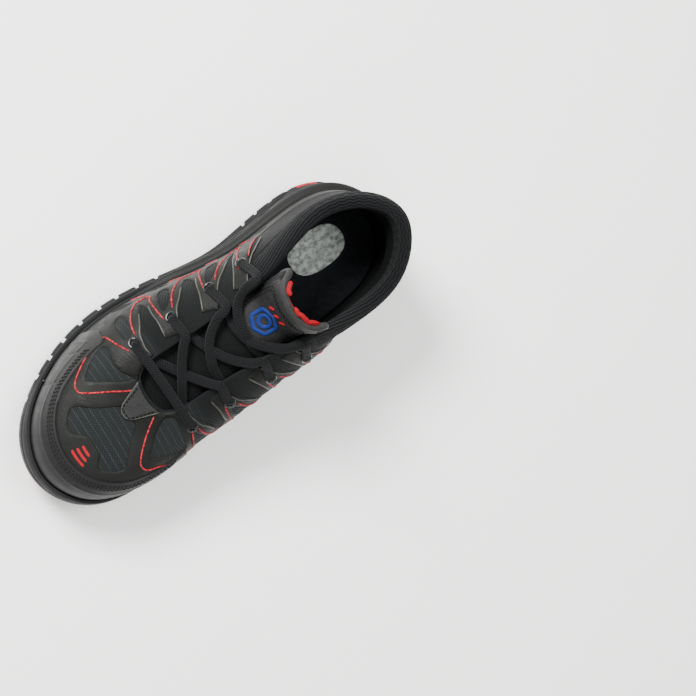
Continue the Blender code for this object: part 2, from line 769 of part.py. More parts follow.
def make_eyelets(material, upper):
    """Flanged metal ring in a lace hole of the upper, one for each hole."""
    seat_height = 2 * CLEARANCE
    back = -(UPPER_WALL + CLEARANCE)
    profile = (
        (EYELET_HOLE, back),
        (EYELET_BARREL, back),
        (EYELET_BARREL, seat_height),
        (EYELET_RADIUS, seat_height),
        (EYELET_RADIUS, seat_height + EYELET_HEIGHT * 0.5),
        ((EYELET_RADIUS + EYELET_HOLE) / 2, seat_height + EYELET_HEIGHT),
        (EYELET_HOLE, seat_height + EYELET_HEIGHT * 0.7),
    )
    drills = []
    radius = EYELET_BARREL + CLEARANCE * 1.2
    for (side, number), (centre, normal) in eyelet_spots().items():
        points, faces = turned(centre, normal, profile, EYELET_SIDES, True)
        make_object(f"eyelet_{side}_{number}", points, faces, material)
        drills.append(turned(centre, normal, ((radius, -0.012), (radius, 0.006)), EYELET_SIDES, False))
    combine(upper, make_cutter("lace_holes", drills))


def throat_edges(share, depth=TONGUE_DEPTH):
    """Cross-section of the tongue's top under the throat: outer lap, arch between, inner lap."""
    section = []
    reach = TONGUE_LAP * np.clip((share - TONGUE_RISE) / 0.06, 0.3, 1)
    for inner, shares in ((False, (0.0, 0.5, 1.0)), (True, (1.0, 0.5, 0.0))):
        u = throat_place(share, inner)
        lap = share_from_top(np.array([u]), np.array([reach]))[0]
        v = lap + (1 - lap) * np.array(shares)
        places = np.full(3, u)
        section.append(on_wall(places, v, -(wall_thickness(places, v) + depth)))
    outer, inner = section
    gap = np.linalg.norm(inner[0] - outer[2])
    pull_outer = outer[2] + unit(outer[2] - outer[1]) * gap * 0.36
    pull_inner = inner[0] + unit(inner[0] - inner[1]) * gap * 0.36
    arch = []
    for t in (0.2, 0.4, 0.6, 0.8):
        s = 1 - t
        arch.append(
            s**3 * outer[2] + 3 * s * s * t * pull_outer + 3 * s * t * t * pull_inner + t**3 * inner[0]
        )
    return np.concatenate((outer, arch, inner))


def tongue_sections():
    """Cross-sections of the tongue's top face, from under the vamp to its free end."""
    mouth = throat_edges(TONGUE_MOUTH)
    sections = []
    for share in (TONGUE_ROOT, (TONGUE_ROOT + TONGUE_MOUTH) / 2):
        row = []
        for y in mouth[:, 1] * 0.96:
            u, v = spot_on_top((share - 0.5) * SHOE_LENGTH, y, -y / 0.30, 0.9)
            row.append(on_wall(u, v, -(UPPER_WALL + TONGUE_DEPTH)))
        sections.append(np.array(row))
    sections += [throat_edges(share) for share in np.linspace(TONGUE_MOUTH, TONGUE_RISE, 7)]
    last = sections[-1]
    crown = (last[4] + last[5]) / 2
    before = (sections[-3][4] + sections[-3][5]) / 2
    run = crown - before
    pitch = math.atan2(run[2], -run[0])
    local = last - crown
    away = -local[:, 0] * math.cos(pitch) + local[:, 2] * math.sin(pitch)
    drop = local[:, 0] * math.sin(pitch) + local[:, 2] * math.cos(pitch)
    turns = np.radians((-98, -74, -52, -31, -10, 10, 31, 52, 74, 98))
    bowed = np.sin(turns) * TONGUE_HALF_WIDTH
    sunk = (np.cos(turns) - 1) * TONGUE_BOW
    centre = crown.copy()
    done = 0.0
    for step, blend, turn, width in TONGUE_END:
        angle = pitch + math.radians(turn)
        ahead = np.array((-math.cos(angle), 0, math.sin(angle)))
        up = np.array((math.sin(angle), 0, math.cos(angle)))
        centre = centre + ahead * TONGUE_STAND * (step - done)
        done = step
        section = centre + np.outer(away * (1 - blend), ahead)
        section = section + np.outer(drop * (1 - blend) + sunk * blend * width, up)
        section[:, 1] = centre[1] + (local[:, 1] * (1 - blend) + bowed * blend) * width
        sections.append(section)
    return sections


def make_tongue(material):
    """Padded tongue under the throat, with a free end that stands over the collar."""
    top = tongue_sections()
    rows = len(top)
    columns = len(top[0])
    grid = np.array(top)
    around = np.gradient(grid, axis=1)
    along = np.gradient(grid, axis=0)
    normal = unit(np.cross(around, along))
    if normal[0, columns // 2, 2] < 0:
        normal = -normal
    edge = np.sin(np.linspace(0.12, math.pi - 0.12, columns)) ** 0.5
    end = np.array([1.0] * (rows - 4) + [1.25, 1.3, 1.1, 0.5])
    thick = TONGUE_THICKNESS * edge[None, :] * end[:, None]
    under = grid - normal * thick[..., None]
    count = rows * columns
    points = np.concatenate((grid.reshape(-1, 3), under.reshape(-1, 3)))
    faces = []
    for r in range(rows - 1):
        for c in range(columns - 1):
            a = r * columns + c
            quad = (a, a + 1, a + columns + 1, a + columns)
            faces.append(quad)
            faces.append(tuple(i + count for i in quad[::-1]))
    border = [c for c in range(columns)]
    border += [r * columns + columns - 1 for r in range(1, rows)]
    border += [(rows - 1) * columns + c for c in range(columns - 2, -1, -1)]
    border += [r * columns for r in range(rows - 2, 0, -1)]
    for i, j in zip(border, border[1:] + border[:1]):
        faces.append((i, j, j + count, i + count))
    return make_object("tongue", points, faces, material, 60)


def smooth_path(points, steps):
    """Curve through a few points, each stretch with its own number of steps."""
    points = np.array(points, float)
    padded = np.concatenate(([2 * points[0] - points[1]], points, [2 * points[-1] - points[-2]]))
    path = []
    for i in range(1, len(padded) - 2):
        a, b, c, d = padded[i - 1 : i + 3]
        for t in np.linspace(0, 1, steps, endpoint=False):
            path.append(
                0.5 * (2 * b + (c - a) * t + (2 * a - 5 * b + 4 * c - d) * t**2 + (3 * b - a - 3 * c + d) * t**3)
            )
    path.append(points[-1])
    return np.array(path)


def lace_body(path, up):
    """Points and faces of an oval cord along a path, with up as its flat side's direction."""
    rings = []
    tangents = unit(np.gradient(path, axis=0))
    turns = np.linspace(0, 2 * math.pi, LACE_SIDES, endpoint=False) + math.pi / LACE_SIDES
    for point, tangent, lift in zip(path, tangents, up):
        side = unit(np.cross(tangent, lift))
        top = np.cross(side, tangent)
        oval = np.cos(turns)[:, None] * side * LACE_WIDTH / 2
        oval = oval + np.sin(turns)[:, None] * top * LACE_THICKNESS / 2
        rings.append(point + oval)
    faces = ring_faces(len(rings), LACE_SIDES)
    last = (len(rings) - 1) * LACE_SIDES
    faces.append(tuple(range(LACE_SIDES))[::-1])
    faces.append(tuple(range(last, last + LACE_SIDES)))
    return np.concatenate(rings), faces


def tongue_height(x, y, grid):
    """Height of the tongue's top face over a plan point."""
    rows = []
    for section in grid:
        order = np.argsort(section[:, 1])
        across = section[order, 1]
        rows.append((np.interp(y, across, section[order, 0]), np.interp(y, across, section[order, 2])))
    along, height = np.array(rows).T
    keep = [0]
    for i in range(1, len(along)):
        if along[i] < along[keep[-1]] - 1e-4:
            keep.append(i)
    return float(np.interp(-x, -along[keep], height[keep]))


def lace_path(start, end, grid, lift):
    """Path over an eyestay, across the tongue and on to the other side, and its flat side's direction.

    start and end hold a side and an eyelet's number. A stretch between unlike numbers goes under the far
    eyestay, one between like numbers goes over it to the other eyelet.
    """
    spots = eyelet_spots()
    clear = LACE_THICKNESS / 2 + CLEARANCE * 1.5
    over = []
    for side, number in (start, end):
        centre, normal = spots[side, number]
        u = np.array([throat_place(EYELETS[number - 1][0], side == "inner")])
        over_rim = 0.35 * float(wall_thickness(u, np.array([1.0]))[0])
        edge = on_wall(u, np.array([1.0]), np.array([clear + over_rim]))[0]
        rest = centre + normal * clear
        rest = rest + unit(edge - rest) * (EYELET_RADIUS + 0.0010)
        over.append((rest, edge, normal))
    (first, second, normal), (far_first, far_second, far_normal) = over
    level = np.array((0.25, 0, 1.0))
    if start[1] == end[1]:
        points = [first, second]
        for t in (0.25, 0.5, 0.75):
            point = second * (1 - t) + far_second * t
            point[2] += 0.0012 * math.sin(math.pi * t)
            points.append(point)
        points += [far_second, far_first]
        ups = [normal, normal + level, level, level, level, far_normal + level, far_normal]
        return smooth_path(points, 2), unit(smooth_path(ups, 2))
    sign = -1 if end[0] == "outer" else 1
    reach = abs(far_second[1]) + 0.0012
    x = (EYELETS[end[1] - 1][0] - 0.5) * SHOE_LENGTH - 0.003
    inside = np.array((x, sign * reach, 0))
    points = [first, second]
    for t in (0.22, 0.48, 0.74, 0.9, 1.0):
        point = second * (1 - t) + inside * t
        side = LACE_WIDTH * 0.6 if t < 0.8 else 0
        height = max(tongue_height(point[0] + d, point[1], grid) for d in (-side, 0, side))
        height += clear + lift * math.sin(math.pi * t) ** 2
        blend = max(0, 1 - t / 0.4)
        point[2] = height * (1 - blend) + max(second[2] + 0.0004, height) * blend
        points.append(point)
    ups = [normal, normal + level, level, level, level, far_normal + level, far_normal]
    return smooth_path(points, 2), unit(smooth_path(ups, 2))


def make_laces(material):
    """The straight bar at the vamp, and the crossings over the tongue as joined solids."""
    grid = tongue_sections()
    points, faces = lace_body(*lace_path(("outer", 1), ("inner", 1), grid, 0))
    make_object("lace_bar", points, faces, material, 60)
    for number in range(2, len(EYELETS) + 1):
        under, under_faces = lace_body(*lace_path(("inner", number), ("outer", number - 1), grid, 0.0002))
        over, over_faces = lace_body(*lace_path(("outer", number), ("inner", number - 1), grid, 0.0022))
        crossing = make_object(f"lace_crossing_{number - 1}", over, over_faces, material, 60)
        helper = make_object(f"lace_under_{number - 1}", under, under_faces, material, 60)
        helper.hide_render = True
        helper.display_type = "WIRE"
        combine(crossing, helper, "UNION")


def stand_on_origin():
    """Moves every piece by the same step, so that the origin lies under the middle of the sole."""
    sides = np.concatenate(sole_rings(around_places()))
    middle = (sides.min(axis=0) + sides.max(axis=0)) / 2
    for obj in bpy.data.objects:
        obj.location = (-float(middle[0]), -float(middle[1]), 0)
    bpy.context.view_layer.update()


def clear_scene():
    for obj in list(bpy.data.objects):
        bpy.data.objects.remove(obj)


def main():
    clear_scene()
    rubber = finish_material("black_rubber", (0.022, 0.023, 0.025), 0.55)
    red_rubber = finish_material("red_rubber", (0.55, 0.03, 0.04), 0.5)
    foam = finish_material("grey_foam", (0.035, 0.036, 0.036), 0.6)
    cloth = finish_material("black_cloth", (0.020, 0.021, 0.021), 0.8)
    cap = finish_material("toe_cap_polymer", (0.045, 0.046, 0.048), 0.5)
    patch = finish_material("patch_leather", (0.05, 0.05, 0.047), 0.6)
    footbed = finish_material("footbed_cloth", (0.008, 0.009, 0.01), 0.9)
    lining = finish_material("tongue_cloth", (0.014, 0.015, 0.015), 0.8)
    enamel = finish_material("black_enamel", (0.01, 0.01, 0.01), 0.25, 0.4)
    lace = finish_material("lace_polyester", (0.018, 0.018, 0.019), 0.8)
    make_outsole(rubber, red_rubber)
    make_midsole(foam)
    make_insole(footbed)
    upper = make_upper(cloth)
    make_toe_cap(cap)
    make_throat_patch(patch)
    make_tongue(lining)
    make_eyelets(enamel, upper)
    make_laces(lace)
    stand_on_origin()


main()
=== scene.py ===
"""Looks of a low safety sneaker for the right foot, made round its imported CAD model.

+X points to the toe, +Y to the inner side of the foot, +Z up, in metres. Places on the upper are given as
u, the way round the shoe from the toe tip along the outer side (0 to 1), and v, the share of the wall from
its bottom edge (0) to the opening (1).
"""

import functools
import math

import bmesh
import bpy
import numpy as np
from mathutils import Matrix, Vector, kdtree
from mathutils.geometry import delaunay_2d_cdt


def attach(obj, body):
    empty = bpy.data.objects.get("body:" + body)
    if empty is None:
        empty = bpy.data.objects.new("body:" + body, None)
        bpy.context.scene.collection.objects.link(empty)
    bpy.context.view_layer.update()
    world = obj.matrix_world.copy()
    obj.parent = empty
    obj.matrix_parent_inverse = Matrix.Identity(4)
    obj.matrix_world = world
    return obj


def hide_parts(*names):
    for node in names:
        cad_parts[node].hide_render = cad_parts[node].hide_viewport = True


bl_info = {
    "name": "Safety sneaker",
    "version": (1, 0, 0),
    "blender": (4, 5, 0),
    "location": "3D View > Sidebar > Sneaker",
    "description": "Dresses the CAD model of a safety sneaker in cloth, film, rubber and laces",
    "category": "Object",
}

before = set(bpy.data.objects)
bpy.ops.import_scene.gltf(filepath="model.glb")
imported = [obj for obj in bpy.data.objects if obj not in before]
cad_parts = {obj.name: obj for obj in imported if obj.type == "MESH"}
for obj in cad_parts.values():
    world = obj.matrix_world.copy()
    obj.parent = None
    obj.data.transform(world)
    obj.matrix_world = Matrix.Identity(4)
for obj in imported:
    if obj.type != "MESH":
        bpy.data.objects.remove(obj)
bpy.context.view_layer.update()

# Driving sizes of the last and the shoe, in metres, as in the part's source
SHOE_LENGTH = 0.300
BALL_WIDTH = 0.108
INSTEP_HEIGHT = 0.100
HEEL_STACK = 0.022
TOE_SPRING = 0.013
ARCH_RISE = 0.007
HEEL_BEVEL = 0.004
CLEARANCE = 0.0003
UPPER_WALL = 0.0024
COLLAR_PAD = 0.0095
MIDSOLE_LIP = 0.0022
LIP_HEIGHT = 0.014
RUBBER_WALL = 0.0026
RUBBER_FLOOR = 0.0045
RUBBER_HEIGHT = 0.030
TOE_CAP_WALL = 0.0017
INSOLE_THICKNESS = 0.004
INSOLE_TOP = 0.86
EYELET_BARREL = 0.0026
EYELET_RADIUS = 0.0040
EYELET_HOLE = 0.0021
TONGUE_LAP = 0.011
TONGUE_DEPTH = 0.0046
TONGUE_STAND = 0.035
TONGUE_ROOT = 0.745
TONGUE_MOUTH = 0.665
TONGUE_RISE = 0.448
TONGUE_HALF_WIDTH = 0.022
TONGUE_BOW = 0.015
TONGUE_THICKNESS = 0.0050
THROAT_LIMIT = 0.995
LUG_DEPTH = 0.0035
LUG_GROOVE = 0.0036
LUG_SWEEP = 0.008
NOTCH_DEPTH = 0.0024
NOTCH_HEIGHT = 0.0085
INSERT_HALF_WIDTH = 0.013
INSERT_HEIGHT = 0.020
INSERT_DEPTH = 0.020
HEEL_INSERT_START = 0.0025
HEEL_INSERT_LENGTH = 0.014
CUTTER_ROOM = 0.010
PATCH_TIP = 0.776
PATCH_LENGTH = 0.018
PATCH_HALF_WIDTH = 0.0105
PATCH_WALL = 0.0014
EYELET_HEIGHT = 0.0011
LACE_WIDTH = 0.0056
LACE_THICKNESS = 0.0032
CAD_RING = 60

# One row for each section round the shoe, from the toe tip along the outer side to the heel and back
# along the inner side.
# along, across: bottom edge of the upper, as shares of SHOE_LENGTH from the heel and of BALL_WIDTH.
# stack: height of that edge over the ground, as a share of HEEL_STACK.
# top_along, top_across, top_height: edge of the throat and collar, the last as a share of INSTEP_HEIGHT.
# lean, rise: degrees outwards and pull of the wall at the bottom. slope, reach: degrees down and pull of
# the wall at the opening. Pulls are shares of the distance between the two edges.
# pad: share of the collar's padding. lip: share of LIP_HEIGHT. rubber: share of RUBBER_HEIGHT.
# heel: 0 with the forefoot's sole side and 1 with the heel's.
COLUMNS = (
    "along", "across", "stack", "top_along", "top_across", "top_height",
    "lean", "rise", "slope", "reach", "pad", "lip", "rubber", "heel",
)
SECTIONS = {
    "toe tip": (0.968, 0.085, 0.42, 0.713, 0.005, 0.660, 6, 0.46, 10, 0.62, 0, 0.22, 0.87, 0),
    "toe outer": (0.945, -0.150, 0.42, 0.710, -0.075, 0.660, 6, 0.46, 11, 0.60, 0, 0.22, 0.86, 0),
    "toe corner outer": (0.880, -0.305, 0.42, 0.697, -0.137, 0.668, 6, 0.46, 13, 0.54, 0, 0.22, 0.60, 0),
    "little toe": (0.790, -0.415, 0.42, 0.657, -0.172, 0.700, 5, 0.46, 18, 0.46, 0, 0.22, 0.40, 0),
    "ball outer": (0.685, -0.470, 0.42, 0.593, -0.176, 0.765, 4, 0.46, 22, 0.44, 0, 0.24, 0.40, 0),
    "ball outer rear": (0.575, -0.455, 0.47, 0.522, -0.180, 0.845, 3, 0.48, 26, 0.42, 0, 0.32, 0.42, 0),
    "waist outer": (0.460, -0.395, 0.60, 0.445, -0.192, 0.935, 3, 0.48, 32, 0.40, 0, 0.48, 0.46, 0.1),
    "shank outer": (0.345, -0.360, 0.78, 0.358, -0.250, 0.975, 2, 0.46, 48, 0.36, 0.5, 0.66, 0.54, 0.5),
    "heel outer": (0.205, -0.385, 0.95, 0.215, -0.350, 0.810, 2, 0.35, 86, 0.34, 1, 0.86, 0.76, 1),
    "heel corner outer": (0.085, -0.318, 1.00, 0.098, -0.275, 0.880, 3, 0.35, 88, 0.34, 1, 0.98, 0.96, 1),
    "heel back": (0.030, 0.000, 1.00, 0.043, 0.000, 0.970, 5, 0.35, 88, 0.36, 1, 1.04, 1.00, 1),
    "heel corner inner": (0.085, 0.245, 1.00, 0.098, 0.258, 0.885, 3, 0.35, 88, 0.34, 1, 0.98, 0.96, 1),
    "heel inner": (0.205, 0.338, 0.95, 0.215, 0.352, 0.825, 6, 0.35, 86, 0.34, 1, 0.86, 0.76, 1),
    "arch rear": (0.345, 0.345, 0.80, 0.358, 0.262, 0.985, 13, 0.44, 48, 0.36, 0.5, 0.68, 0.54, 0.5),
    "arch": (0.460, 0.346, 0.64, 0.445, 0.200, 0.942, 16, 0.48, 32, 0.40, 0, 0.50, 0.46, 0.1),
    "ball inner rear": (0.575, 0.402, 0.47, 0.522, 0.184, 0.850, 11, 0.48, 26, 0.42, 0, 0.32, 0.42, 0),
    "ball inner": (0.685, 0.435, 0.42, 0.593, 0.176, 0.768, 5, 0.46, 22, 0.44, 0, 0.24, 0.40, 0),
    "big toe": (0.790, 0.450, 0.42, 0.657, 0.172, 0.702, 5, 0.46, 18, 0.46, 0, 0.22, 0.40, 0),
    "toe corner inner": (0.880, 0.395, 0.42, 0.697, 0.137, 0.670, 6, 0.46, 13, 0.54, 0, 0.22, 0.60, 0),
    "toe inner": (0.940, 0.270, 0.42, 0.710, 0.080, 0.661, 6, 0.46, 11, 0.60, 0, 0.22, 0.86, 0),
}
NAMES = list(SECTIONS)

# Side of the rubber sole, from the ground edge to its top: share of the height, metres outwards at the
# forefoot and metres outwards at the heel
SOLE_SIDE = (
    (0.00, -0.0012, -0.0012),
    (0.10, 0.0008, 0.0022),
    (0.32, 0.0018, 0.0034),
    (0.58, 0.0014, 0.0004),
    (0.86, 0.0006, 0.0014),
    (1.00, -0.0006, 0.0002),
)

# Toe cap: share of the way from the ball sections to the next one forward where it ends, and the height of
# its upper edge as a share of the wall
CAP_REACH = 0.34
CAP_LINE = (
    ("toe tip", 0.0, 0.46),
    ("toe outer", 0.0, 0.46),
    ("toe corner outer", 0.0, 0.46),
    ("little toe", 0.0, 0.50),
    ("ball outer", -0.62, 0.53),
    ("ball outer", -CAP_REACH, 0.38),
)

# Eyelets from the vamp up: share of SHOE_LENGTH from the heel and of BALL_WIDTH off the middle
EYELETS = ((0.670, 0.300), (0.578, 0.305), (0.480, 0.322), (0.396, 0.338))

# Free end of the tongue: share of its length, share of its own bow, degrees bent up, share of its width
TONGUE_END = (
    (0.16, 0.45, 20, 0.93),
    (0.36, 0.85, 42, 0.95),
    (0.62, 1.00, 56, 1.00),
    (0.84, 1.00, 60, 1.03),
    (0.95, 1.00, 60, 1.00),
    (1.00, 1.00, 60, 0.93),
)

# Gaps between the side lugs, as shares of SHOE_LENGTH from the heel
LUG_GAPS = (0.150, 0.192, 0.234, 0.272, 0.513, 0.560, 0.610, 0.655, 0.705, 0.755, 0.800, 0.845, 0.890)

# Shares of SHOE_LENGTH where the sole meets the floor
HEEL_FLAT = (0.07, 0.30)
BALL_FLAT = (0.50, 0.72)


def closed_spline(knots, values, period=1.0):
    """Smooth closed curve through values at knots, as a function of a number or an array."""
    count = len(knots)
    steps = np.diff(np.append(knots, knots[0] + period))
    matrix = np.zeros((count, count))
    right = np.zeros(count)
    for i in range(count):
        before = steps[i - 1]
        after = steps[i]
        matrix[i, i - 1] += before
        matrix[i, i] += 2 * (before + after)
        matrix[i, (i + 1) % count] += after
        rise_after = (values[(i + 1) % count] - values[i]) / after
        rise_before = (values[i] - values[i - 1]) / before
        right[i] = 6 * (rise_after - rise_before)
    bend = np.linalg.solve(matrix, right)

    def at(u):
        u = (np.asarray(u, float) - knots[0]) % period + knots[0]
        i = np.clip(np.searchsorted(knots, u, side="right") - 1, 0, count - 1)
        j = (i + 1) % count
        h = steps[i]
        a = (knots[i] + h - u) / h
        b = 1 - a
        curve = (a**3 - a) * bend[i] + (b**3 - b) * bend[j]
        return a * values[i] + b * values[j] + curve * h * h / 6

    return at


def smooth_step(x):
    x = np.clip(x, 0, 1)
    return x * x * (3 - 2 * x)


def unit(v):
    return v / np.maximum(np.linalg.norm(v, axis=-1, keepdims=True), 1e-12)


def run_along(points):
    """Distance of each point of a line, or each row of a grid, from the first."""
    steps = np.linalg.norm(np.diff(points, axis=0), axis=-1)
    return np.concatenate((np.zeros_like(steps[:1]), np.cumsum(steps, axis=0)))


def at_marks(marks, run, values):
    """Values along a line, read at given distances along it."""
    return np.column_stack([np.interp(marks, run, row) for row in np.asarray(values).T])


def along_at(share):
    """Place along the shoe of a share of SHOE_LENGTH from the heel."""
    return (share - 0.5) * SHOE_LENGTH


TABLE = dict(zip(COLUMNS, np.array(list(SECTIONS.values()), float).T))
EDGE = np.column_stack((TABLE["along"] * SHOE_LENGTH, TABLE["across"] * BALL_WIDTH))
CHORDS = np.linalg.norm(np.roll(EDGE, -1, axis=0) - EDGE, axis=1)
KNOTS = np.concatenate(([0], np.cumsum(CHORDS)[:-1])) / CHORDS.sum()
CURVES = {name: closed_spline(KNOTS, column) for name, column in TABLE.items()}


def column(name, u):
    return CURVES[name](u)


def section_at(name, ahead=0.0):
    """Place round the shoe of a named section, or a share of the way on to the next one."""
    i = NAMES.index(name)
    knots = np.append(KNOTS, 1.0)
    step = knots[i + 1] - knots[i] if ahead >= 0 else knots[i] - knots[i - 1]
    return knots[i] + ahead * step


def edge_plan(u):
    """Bottom edge of the upper in plan."""
    x = along_at(column("along", u))
    return np.stack((x, column("across", u) * BALL_WIDTH), axis=-1)


def outward(u):
    """Level direction out of the shoe."""
    step = 2e-3
    run = edge_plan(u + step) - edge_plan(u - step)
    return unit(np.stack((-run[..., 1], run[..., 0]), axis=-1))


def spring(x):
    """Rise of the whole toe over the ground."""
    share = x / SHOE_LENGTH + 0.5
    return TOE_SPRING * np.clip((share - BALL_FLAT[1]) / (1 - BALL_FLAT[1]), 0, 1.1) ** 1.6


def ground(x):
    """Underside of the sole: flat at heel and ball, raised at the arch, toe and back of the heel."""
    share = x / SHOE_LENGTH + 0.5
    arch = np.clip((share - HEEL_FLAT[1]) / (BALL_FLAT[0] - HEEL_FLAT[1]), 0, 1)
    back = np.clip((HEEL_FLAT[0] - share) / HEEL_FLAT[0], 0, 1.2)
    return spring(x) + ARCH_RISE * np.sin(math.pi * arch) ** 2 + HEEL_BEVEL * back**1.5


def seat(u):
    """Height of the upper's bottom edge."""
    return spring(edge_plan(u)[..., 0]) + column("stack", u) * HEEL_STACK


def wall(u, v):
    """Outside of the upper at place u round the shoe and share v from bottom edge to opening."""
    plan = edge_plan(u)
    low = np.concatenate((plan, seat(u)[..., None]), axis=-1)
    high = np.stack(
        (
            along_at(column("top_along", u)),
            column("top_across", u) * BALL_WIDTH,
            column("top_height", u) * INSTEP_HEIGHT,
        ),
        axis=-1,
    )
    out = outward(u)
    span = np.linalg.norm(high - low, axis=-1)
    lean = np.radians(column("lean", u))
    slope = np.radians(column("slope", u))
    fan = unit((low - high)[..., :2] + out * BALL_WIDTH * 0.28)
    up = np.concatenate((out * np.sin(lean)[..., None], np.cos(lean)[..., None]), axis=-1)
    down = np.concatenate((fan * np.cos(slope)[..., None], -np.sin(slope)[..., None]), axis=-1)
    near_low = low + up * (column("rise", u) * span)[..., None]
    near_high = high + down * (column("reach", u) * span)[..., None]
    v = np.asarray(v, float)[..., None]
    w = 1 - v
    return w**3 * low + 3 * w * w * v * near_low + 3 * w * v * v * near_high + v**3 * high


def wall_normal(u, v):
    """Outward normal of the upper's outside."""
    u, v = np.broadcast_arrays(np.asarray(u, float), np.asarray(v, float))
    step = 1e-3
    around = wall(u + step, v) - wall(u - step, v)
    low = np.clip(v - step, 0, 1)
    up = wall(u, low + 2 * step) - wall(u, low)
    return unit(np.cross(up, around))


def on_wall(u, v, out):
    """Point at a distance out of the upper's outside, or inside it where out is negative."""
    u, v = np.broadcast_arrays(np.asarray(u, float), np.asarray(v, float))
    return wall(u, v) + wall_normal(u, v) * np.asarray(out, float)[..., None]


def share_at_height(u, z):
    """Share v at which the upper's wall reaches height z."""
    u = np.asarray(u, float)
    tries = np.linspace(0, 0.7, 60)
    levels = wall(u[:, None], tries[None, :])[..., 2]
    heights = np.broadcast_to(z, u.shape)
    return np.array([np.interp(height, row, tries) for height, row in zip(heights, levels)])


def share_from_top(u, distance):
    """Share v at a distance below the opening, measured along the wall."""
    u = np.asarray(u, float)
    tries = np.linspace(1, 0, 80)
    runs = run_along(wall(u[None, :], tries[:, None])).T
    return np.array([np.interp(d, run, tries) for d, run in zip(np.broadcast_to(distance, u.shape), runs)])


def side_point(u, z, out):
    """Point of the sole's side: level with z, out of the upper's wall or of its bottom edge's plan."""
    share = share_at_height(u, np.maximum(z, seat(u)))
    level = outward(u)
    facing = np.sum(wall_normal(u, share)[..., :2] * level, axis=-1).clip(0.55, 1)
    stand = np.broadcast_to(out, np.shape(u)) / facing
    plan = wall(u, share)[..., :2] + level * stand[..., None]
    return np.concatenate((plan, np.asarray(z)[..., None]), axis=-1)


def lip_line(u):
    """Top of the midsole's lip round the upper."""
    return seat(u) + column("lip", u) * LIP_HEIGHT


def rubber_line(u):
    """Top of the rubber sole's side."""
    x = edge_plan(u)[..., 0]
    floor = ground(x) + RUBBER_FLOOR + 0.0012
    return np.maximum(spring(x) + column("rubber", u) * RUBBER_HEIGHT, floor)


def linear(code):
    """Scene-linear colour from an sRGB hex value."""
    parts = [int(code[i : i + 2], 16) / 255 for i in (1, 3, 5)]
    return tuple(c / 12.92 if c <= 0.04045 else ((c + 0.055) / 1.055) ** 2.4 for c in parts)


def colour_property(name, code, description):
    return bpy.props.FloatVectorProperty(
        name=name, description=description, subtype="COLOR", size=3, min=0, max=1, default=linear(code)
    )


def length_property(name, default, description):
    return bpy.props.FloatProperty(
        name=name, description=description, subtype="DISTANCE", unit="LENGTH", min=0, default=default
    )


class SneakerSizes(bpy.types.PropertyGroup):
    """Sizes of the finish that lies over the last."""

    film: length_property("Film", 0.0006, "Thickness of the welded film over the cloth")
    piping: length_property("Piping", 0.0011, "Width of the red piping lines")
    stitch: length_property("Stitch", 0.0015, "Length of one stitch")
    stitch_pitch: length_property("Stitch pitch", 0.0024, "Distance from one stitch to the next")
    thread: length_property("Thread", 0.0006, "Thickness of the sewing thread")
    lace_width: length_property("Lace width", 0.0062, "Width of the flat lace")
    lace_thickness: length_property("Lace thickness", 0.0030, "Thickness of the flat lace")
    mesh_pitch: length_property("Mesh pitch", 0.0012, "Distance between the holes of the mesh cloth")
    binding: length_property("Tongue binding", 0.0050, "Thickness of the rolled edge of the tongue")


class SneakerColours(bpy.types.PropertyGroup):
    """Colours of the finish."""

    mesh: colour_property("Mesh cloth", "#0e1010", "Cloth that shows in the windows of the film")
    thread_line: colour_property("Woven line", "#353b3b", "Light ripstop thread in the mesh cloth")
    knit: colour_property("Collar knit", "#090a0b", "Ribbed cloth of the collar")
    film: colour_property("Film", "#161715", "Welded film over the upper")
    cap: colour_property("Toe cap", "#161616", "Moulded toe cap")
    piping: colour_property("Piping", "#8a1119", "Piping lines, tongue lining and inserts of the sole")
    lace: colour_property("Lace", "#0a0b0c", "Braided lace")
    rubber: colour_property("Sole rubber", "#181919", "Moulded rubber of the sole")
    foam: colour_property("Midsole", "#181918", "Foam of the midsole")
    enamel: colour_property("Eyelets", "#08090a", "Enamel of the lace holes' rings")
    label: colour_property("Insole label", "#a6ada8", "Mottled label on the footbed")
    badge: colour_property("Badge", "#142358", "Plain badge on the tongue")


def sizes():
    return bpy.context.scene.sneaker_sizes


def colours():
    return bpy.context.scene.sneaker_colours


def add(tree, kind, settings=None, **sockets):
    """Adds a node. A socket is named, or numbered as i0 or i1, and gets a value or a link."""
    made = tree.nodes.new("ShaderNode" + kind)
    for key, value in (settings or {}).items():
        setattr(made, key, value)
    for key, value in sockets.items():
        number = key[1:]
        socket = made.inputs[int(number)] if number.isdigit() else made.inputs[key.replace("_", " ")]
        if isinstance(value, bpy.types.NodeSocket):
            tree.links.new(value, socket)
        else:
            socket.default_value = value
    return made


def start_material(name, colour, roughness, **sockets):
    """Material with a plain shader, its node tree and the shader."""
    made = bpy.data.materials.new(name)
    made.use_nodes = True
    made.diffuse_color = (*colour, 1)
    tree = made.node_tree
    shader = tree.nodes["Principled BSDF"]
    shader.inputs["Base Color"].default_value = (*colour, 1)
    shader.inputs["Roughness"].default_value = roughness
    shader.inputs["Specular IOR Level"].default_value = 0.09
    for key, value in sockets.items():
        shader.inputs[key.replace("_", " ")].default_value = value
    return made, tree, shader


def math_node(tree, operation, first, second=0.0):
    return add(tree, "Math", {"operation": operation}, i0=first, i1=second).outputs[0]


def times(tree, first, second):
    return math_node(tree, "MULTIPLY", first, second)


def plus(tree, first, second):
    return math_node(tree, "ADD", first, second)


def wave(tree, value, turn=math.pi):
    """Row of round humps, one for each unit of the value where turn is half a circle."""
    return math_node(tree, "ABSOLUTE", math_node(tree, "SINE", times(tree, value, turn)))


def shade(colour, share, lift=0.0):
    """Darker or lighter colour."""
    return tuple(min(1, c * share + lift) for c in colour)


def paint(tree, shader, value, socket="Base Color"):
    tree.links.new(value, shader.inputs[socket])


